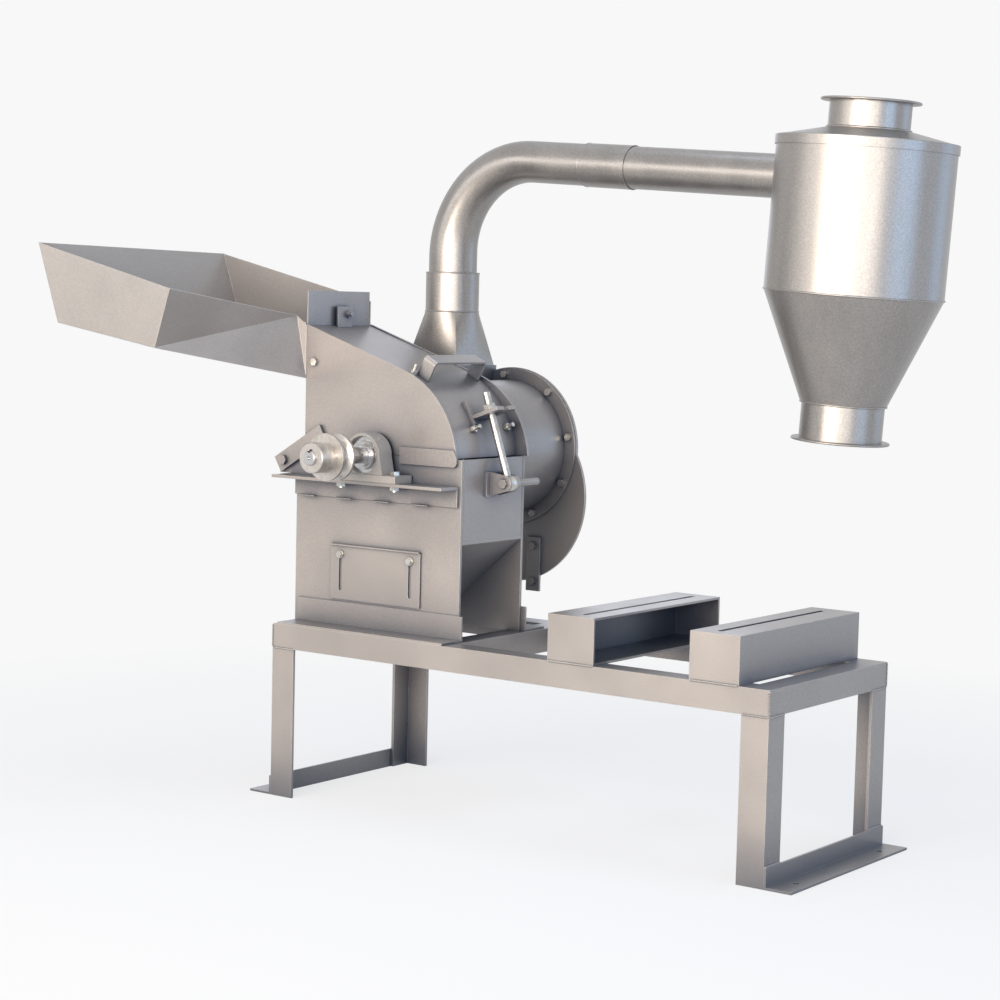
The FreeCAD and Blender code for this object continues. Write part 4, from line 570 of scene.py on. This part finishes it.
# Name, place, width, height, power and colour of each light but the key.
SOFT_BOXES = (("front_right", (4.6, -5.9, 1.5), 5.0, 2.8, 215.0, (1.0, 0.93, 0.86)),
              ("left", (-4.7, -6.2, 3.1), 4.0, 2.4, 80.0, (1.0, 0.95, 0.90)),
              ("right", (6.0, -0.6, 1.7), 3.0, 3.0, 66.0, (0.36, 0.62, 1.0)),
              ("side", (4.2, 5.0, 1.8), 3.0, 3.0, 30.0, (0.34, 0.60, 1.0)),
              ("top", (0.3, 0.2, 5.5), 3.0, 3.0, 66.0, (0.70, 0.80, 1.0)),
              ("back", (-4.0, 5.0, 2.4), 3.0, 3.0, 22.0, (0.72, 0.78, 1.0)))

CAMERA_PLACE = (3.3962, -4.9719, 1.364)
AZIMUTH, ELEVATION, ROLL = (math.radians(value) for value in (36.16, 4.93, 1.37))
SENSOR, LENS = 36.0, 82.93


class PULVERIZER_OT_stage(bpy.types.Operator):
    """Floor, soft lights, background and camera"""
    bl_idname = "pulverizer.stage"
    bl_label = "Stage"

    def execute(self, context):
        pale = (*settings().floor_colour, 1.0)
        self.lay_floor(pale)
        self.hang_backdrop(context, pale)
        self.place_lights()
        self.place_camera(context)
        context.scene.view_settings.view_transform = "Standard"
        return {"FINISHED"}

    def lay_floor(self, pale):
        """Camera and mirror rays see the pale floor, other rays a dim one that bounces little."""
        bpy.ops.object.select_all(action="DESELECT")
        bpy.ops.mesh.primitive_circle_add(vertices=96, radius=FLOOR_RADIUS, fill_type="NGON")
        floor = bpy.context.object
        floor.name = "floor"
        floor.location.z = -0.5 * MM
        material, tree, shader, place = start_material("pale_floor")
        shader.inputs["Roughness"].default_value = 1.0
        shader.inputs["Specular IOR Level"].default_value = 0.0
        reach = add_node(tree, "ShaderNodeVectorMath", {"operation": "LENGTH"}, {0: place})
        fade = add_node(tree, "ShaderNodeMapRange",
                        {FROM_LOW: NEAR, FROM_HIGH: FAR, TO_LOW: NEAR_GLOW, TO_HIGH: FAR_GLOW},
                        {0: reach.outputs["Value"]})
        matt = add_node(tree, "ShaderNodeMapRange",
                        {FROM_LOW: NEAR, FROM_HIGH: FAR, TO_LOW: NEAR_MATT, TO_HIGH: FAR_MATT},
                        {0: reach.outputs["Value"]})
        glow = add_node(tree, "ShaderNodeEmission", {"Color": pale}, {"Strength": fade.outputs[0]})
        tree.links.new(matt.outputs[0], shader.inputs["Base Color"])
        bright = add_node(tree, "ShaderNodeAddShader", None,
                          {0: shader.outputs["BSDF"], 1: glow.outputs[0]})
        dim = add_node(tree, "ShaderNodeBsdfDiffuse", {"Color": (0.16, 0.18, 0.22, 1.0)})
        seen = add_node(tree, "ShaderNodeMixShader", None,
                        {0: self.seen_directly(tree), 1: dim.outputs[0], 2: bright.outputs[0]})
        output = [node for node in tree.nodes if node.type == "OUTPUT_MATERIAL"][0]
        tree.links.new(seen.outputs[0], output.inputs["Surface"])
        floor.data.materials.append(material)

    def hang_backdrop(self, context, pale):
        """Camera and mirror rays see the pale backdrop, other rays a soft blue fill."""
        world = bpy.data.worlds.new("studio")
        context.scene.world = world
        world.use_nodes = True
        tree = world.node_tree
        tree.nodes.clear()
        soft = add_node(tree, "ShaderNodeBackground", {"Color": (0.40, 0.64, 1.0, 1), "Strength": 0.28})
        white = add_node(tree, "ShaderNodeBackground", {"Color": pale, "Strength": 1.0})
        mix = add_node(tree, "ShaderNodeMixShader", None,
                       {0: self.seen_directly(tree), 1: soft.outputs[0], 2: white.outputs[0]})
        add_node(tree, "ShaderNodeOutputWorld", None, {"Surface": mix.outputs[0]})

    def seen_directly(self, tree):
        """One for rays from the camera, in a mirror or through glass, and zero for the rest."""
        path = add_node(tree, "ShaderNodeLightPath")
        either = add_node(tree, "ShaderNodeMath", {"operation": "MAXIMUM"},
                          {0: path.outputs["Is Camera Ray"], 1: path.outputs["Is Glossy Ray"]})
        clear = add_node(tree, "ShaderNodeMath", {"operation": "MAXIMUM"},
                         {0: either.outputs[0], 1: path.outputs["Is Transmission Ray"]})
        return clear.outputs[0]

    def place_lights(self):
        key = ("key", (0.3, -6.4, 2.0), 4.5, 3.8, settings().key_power, (1.0, 0.87, 0.74))
        for name, where, width, height, power, colour in (key, *SOFT_BOXES):
            bpy.ops.object.light_add(type="AREA", location=where)
            lamp = bpy.context.object
            lamp.name = name
            lamp.data.shape = "RECTANGLE"
            lamp.data.size = width
            lamp.data.size_y = height
            lamp.data.energy = power
            lamp.data.color = colour
            lamp.rotation_euler = (AIM - Vector(where)).to_track_quat("-Z", "Y").to_euler()

    def place_camera(self, context):
        look = Vector((-math.sin(AZIMUTH) * math.cos(ELEVATION), math.cos(AZIMUTH) * math.cos(ELEVATION),
                       -math.sin(ELEVATION)))
        flat = Vector((math.cos(AZIMUTH), math.sin(AZIMUTH), 0))
        upright = flat.cross(look)
        right = math.cos(ROLL) * flat + math.sin(ROLL) * upright
        top = -math.sin(ROLL) * flat + math.cos(ROLL) * upright
        turn = Matrix((right, top, -look)).transposed()
        bpy.ops.object.camera_add(location=CAMERA_PLACE, rotation=turn.to_euler())
        camera = bpy.context.object
        camera.name = "camera"
        camera.data.sensor_width = SENSOR
        camera.data.lens = LENS
        context.scene.camera = camera


STEPS = (PULVERIZER_OT_finishes, PULVERIZER_OT_frame_welds, PULVERIZER_OT_housing_welds,
         PULVERIZER_OT_rod_thread, PULVERIZER_OT_cyclone_beads, PULVERIZER_OT_stage)


class PULVERIZER_PT_panel(bpy.types.Panel):
    """Steps that build the pulverizer"""
    bl_idname = "PULVERIZER_PT_panel"
    bl_label = "Pulverizer"
    bl_space_type = "VIEW_3D"
    bl_region_type = "UI"
    bl_category = "Pulverizer"

    def draw(self, context):
        for step in STEPS:
            self.layout.operator(step.bl_idname)


CLASSES = (PulverizerSettings, *STEPS, PULVERIZER_PT_panel)


def register():
    for item in CLASSES:
        bpy.utils.register_class(item)
    bpy.types.Scene.pulverizer = PointerProperty(type=PulverizerSettings)


def unregister():
    del bpy.types.Scene.pulverizer
    for item in reversed(CLASSES):
        bpy.utils.unregister_class(item)


def main():
    register()
    bpy.ops.pulverizer.finishes()
    bpy.ops.pulverizer.frame_welds()
    bpy.ops.pulverizer.housing_welds()
    bpy.ops.pulverizer.rod_thread()
    bpy.ops.pulverizer.cyclone_beads()
    bpy.ops.pulverizer.stage()


if __name__ == "__main__":
    main()
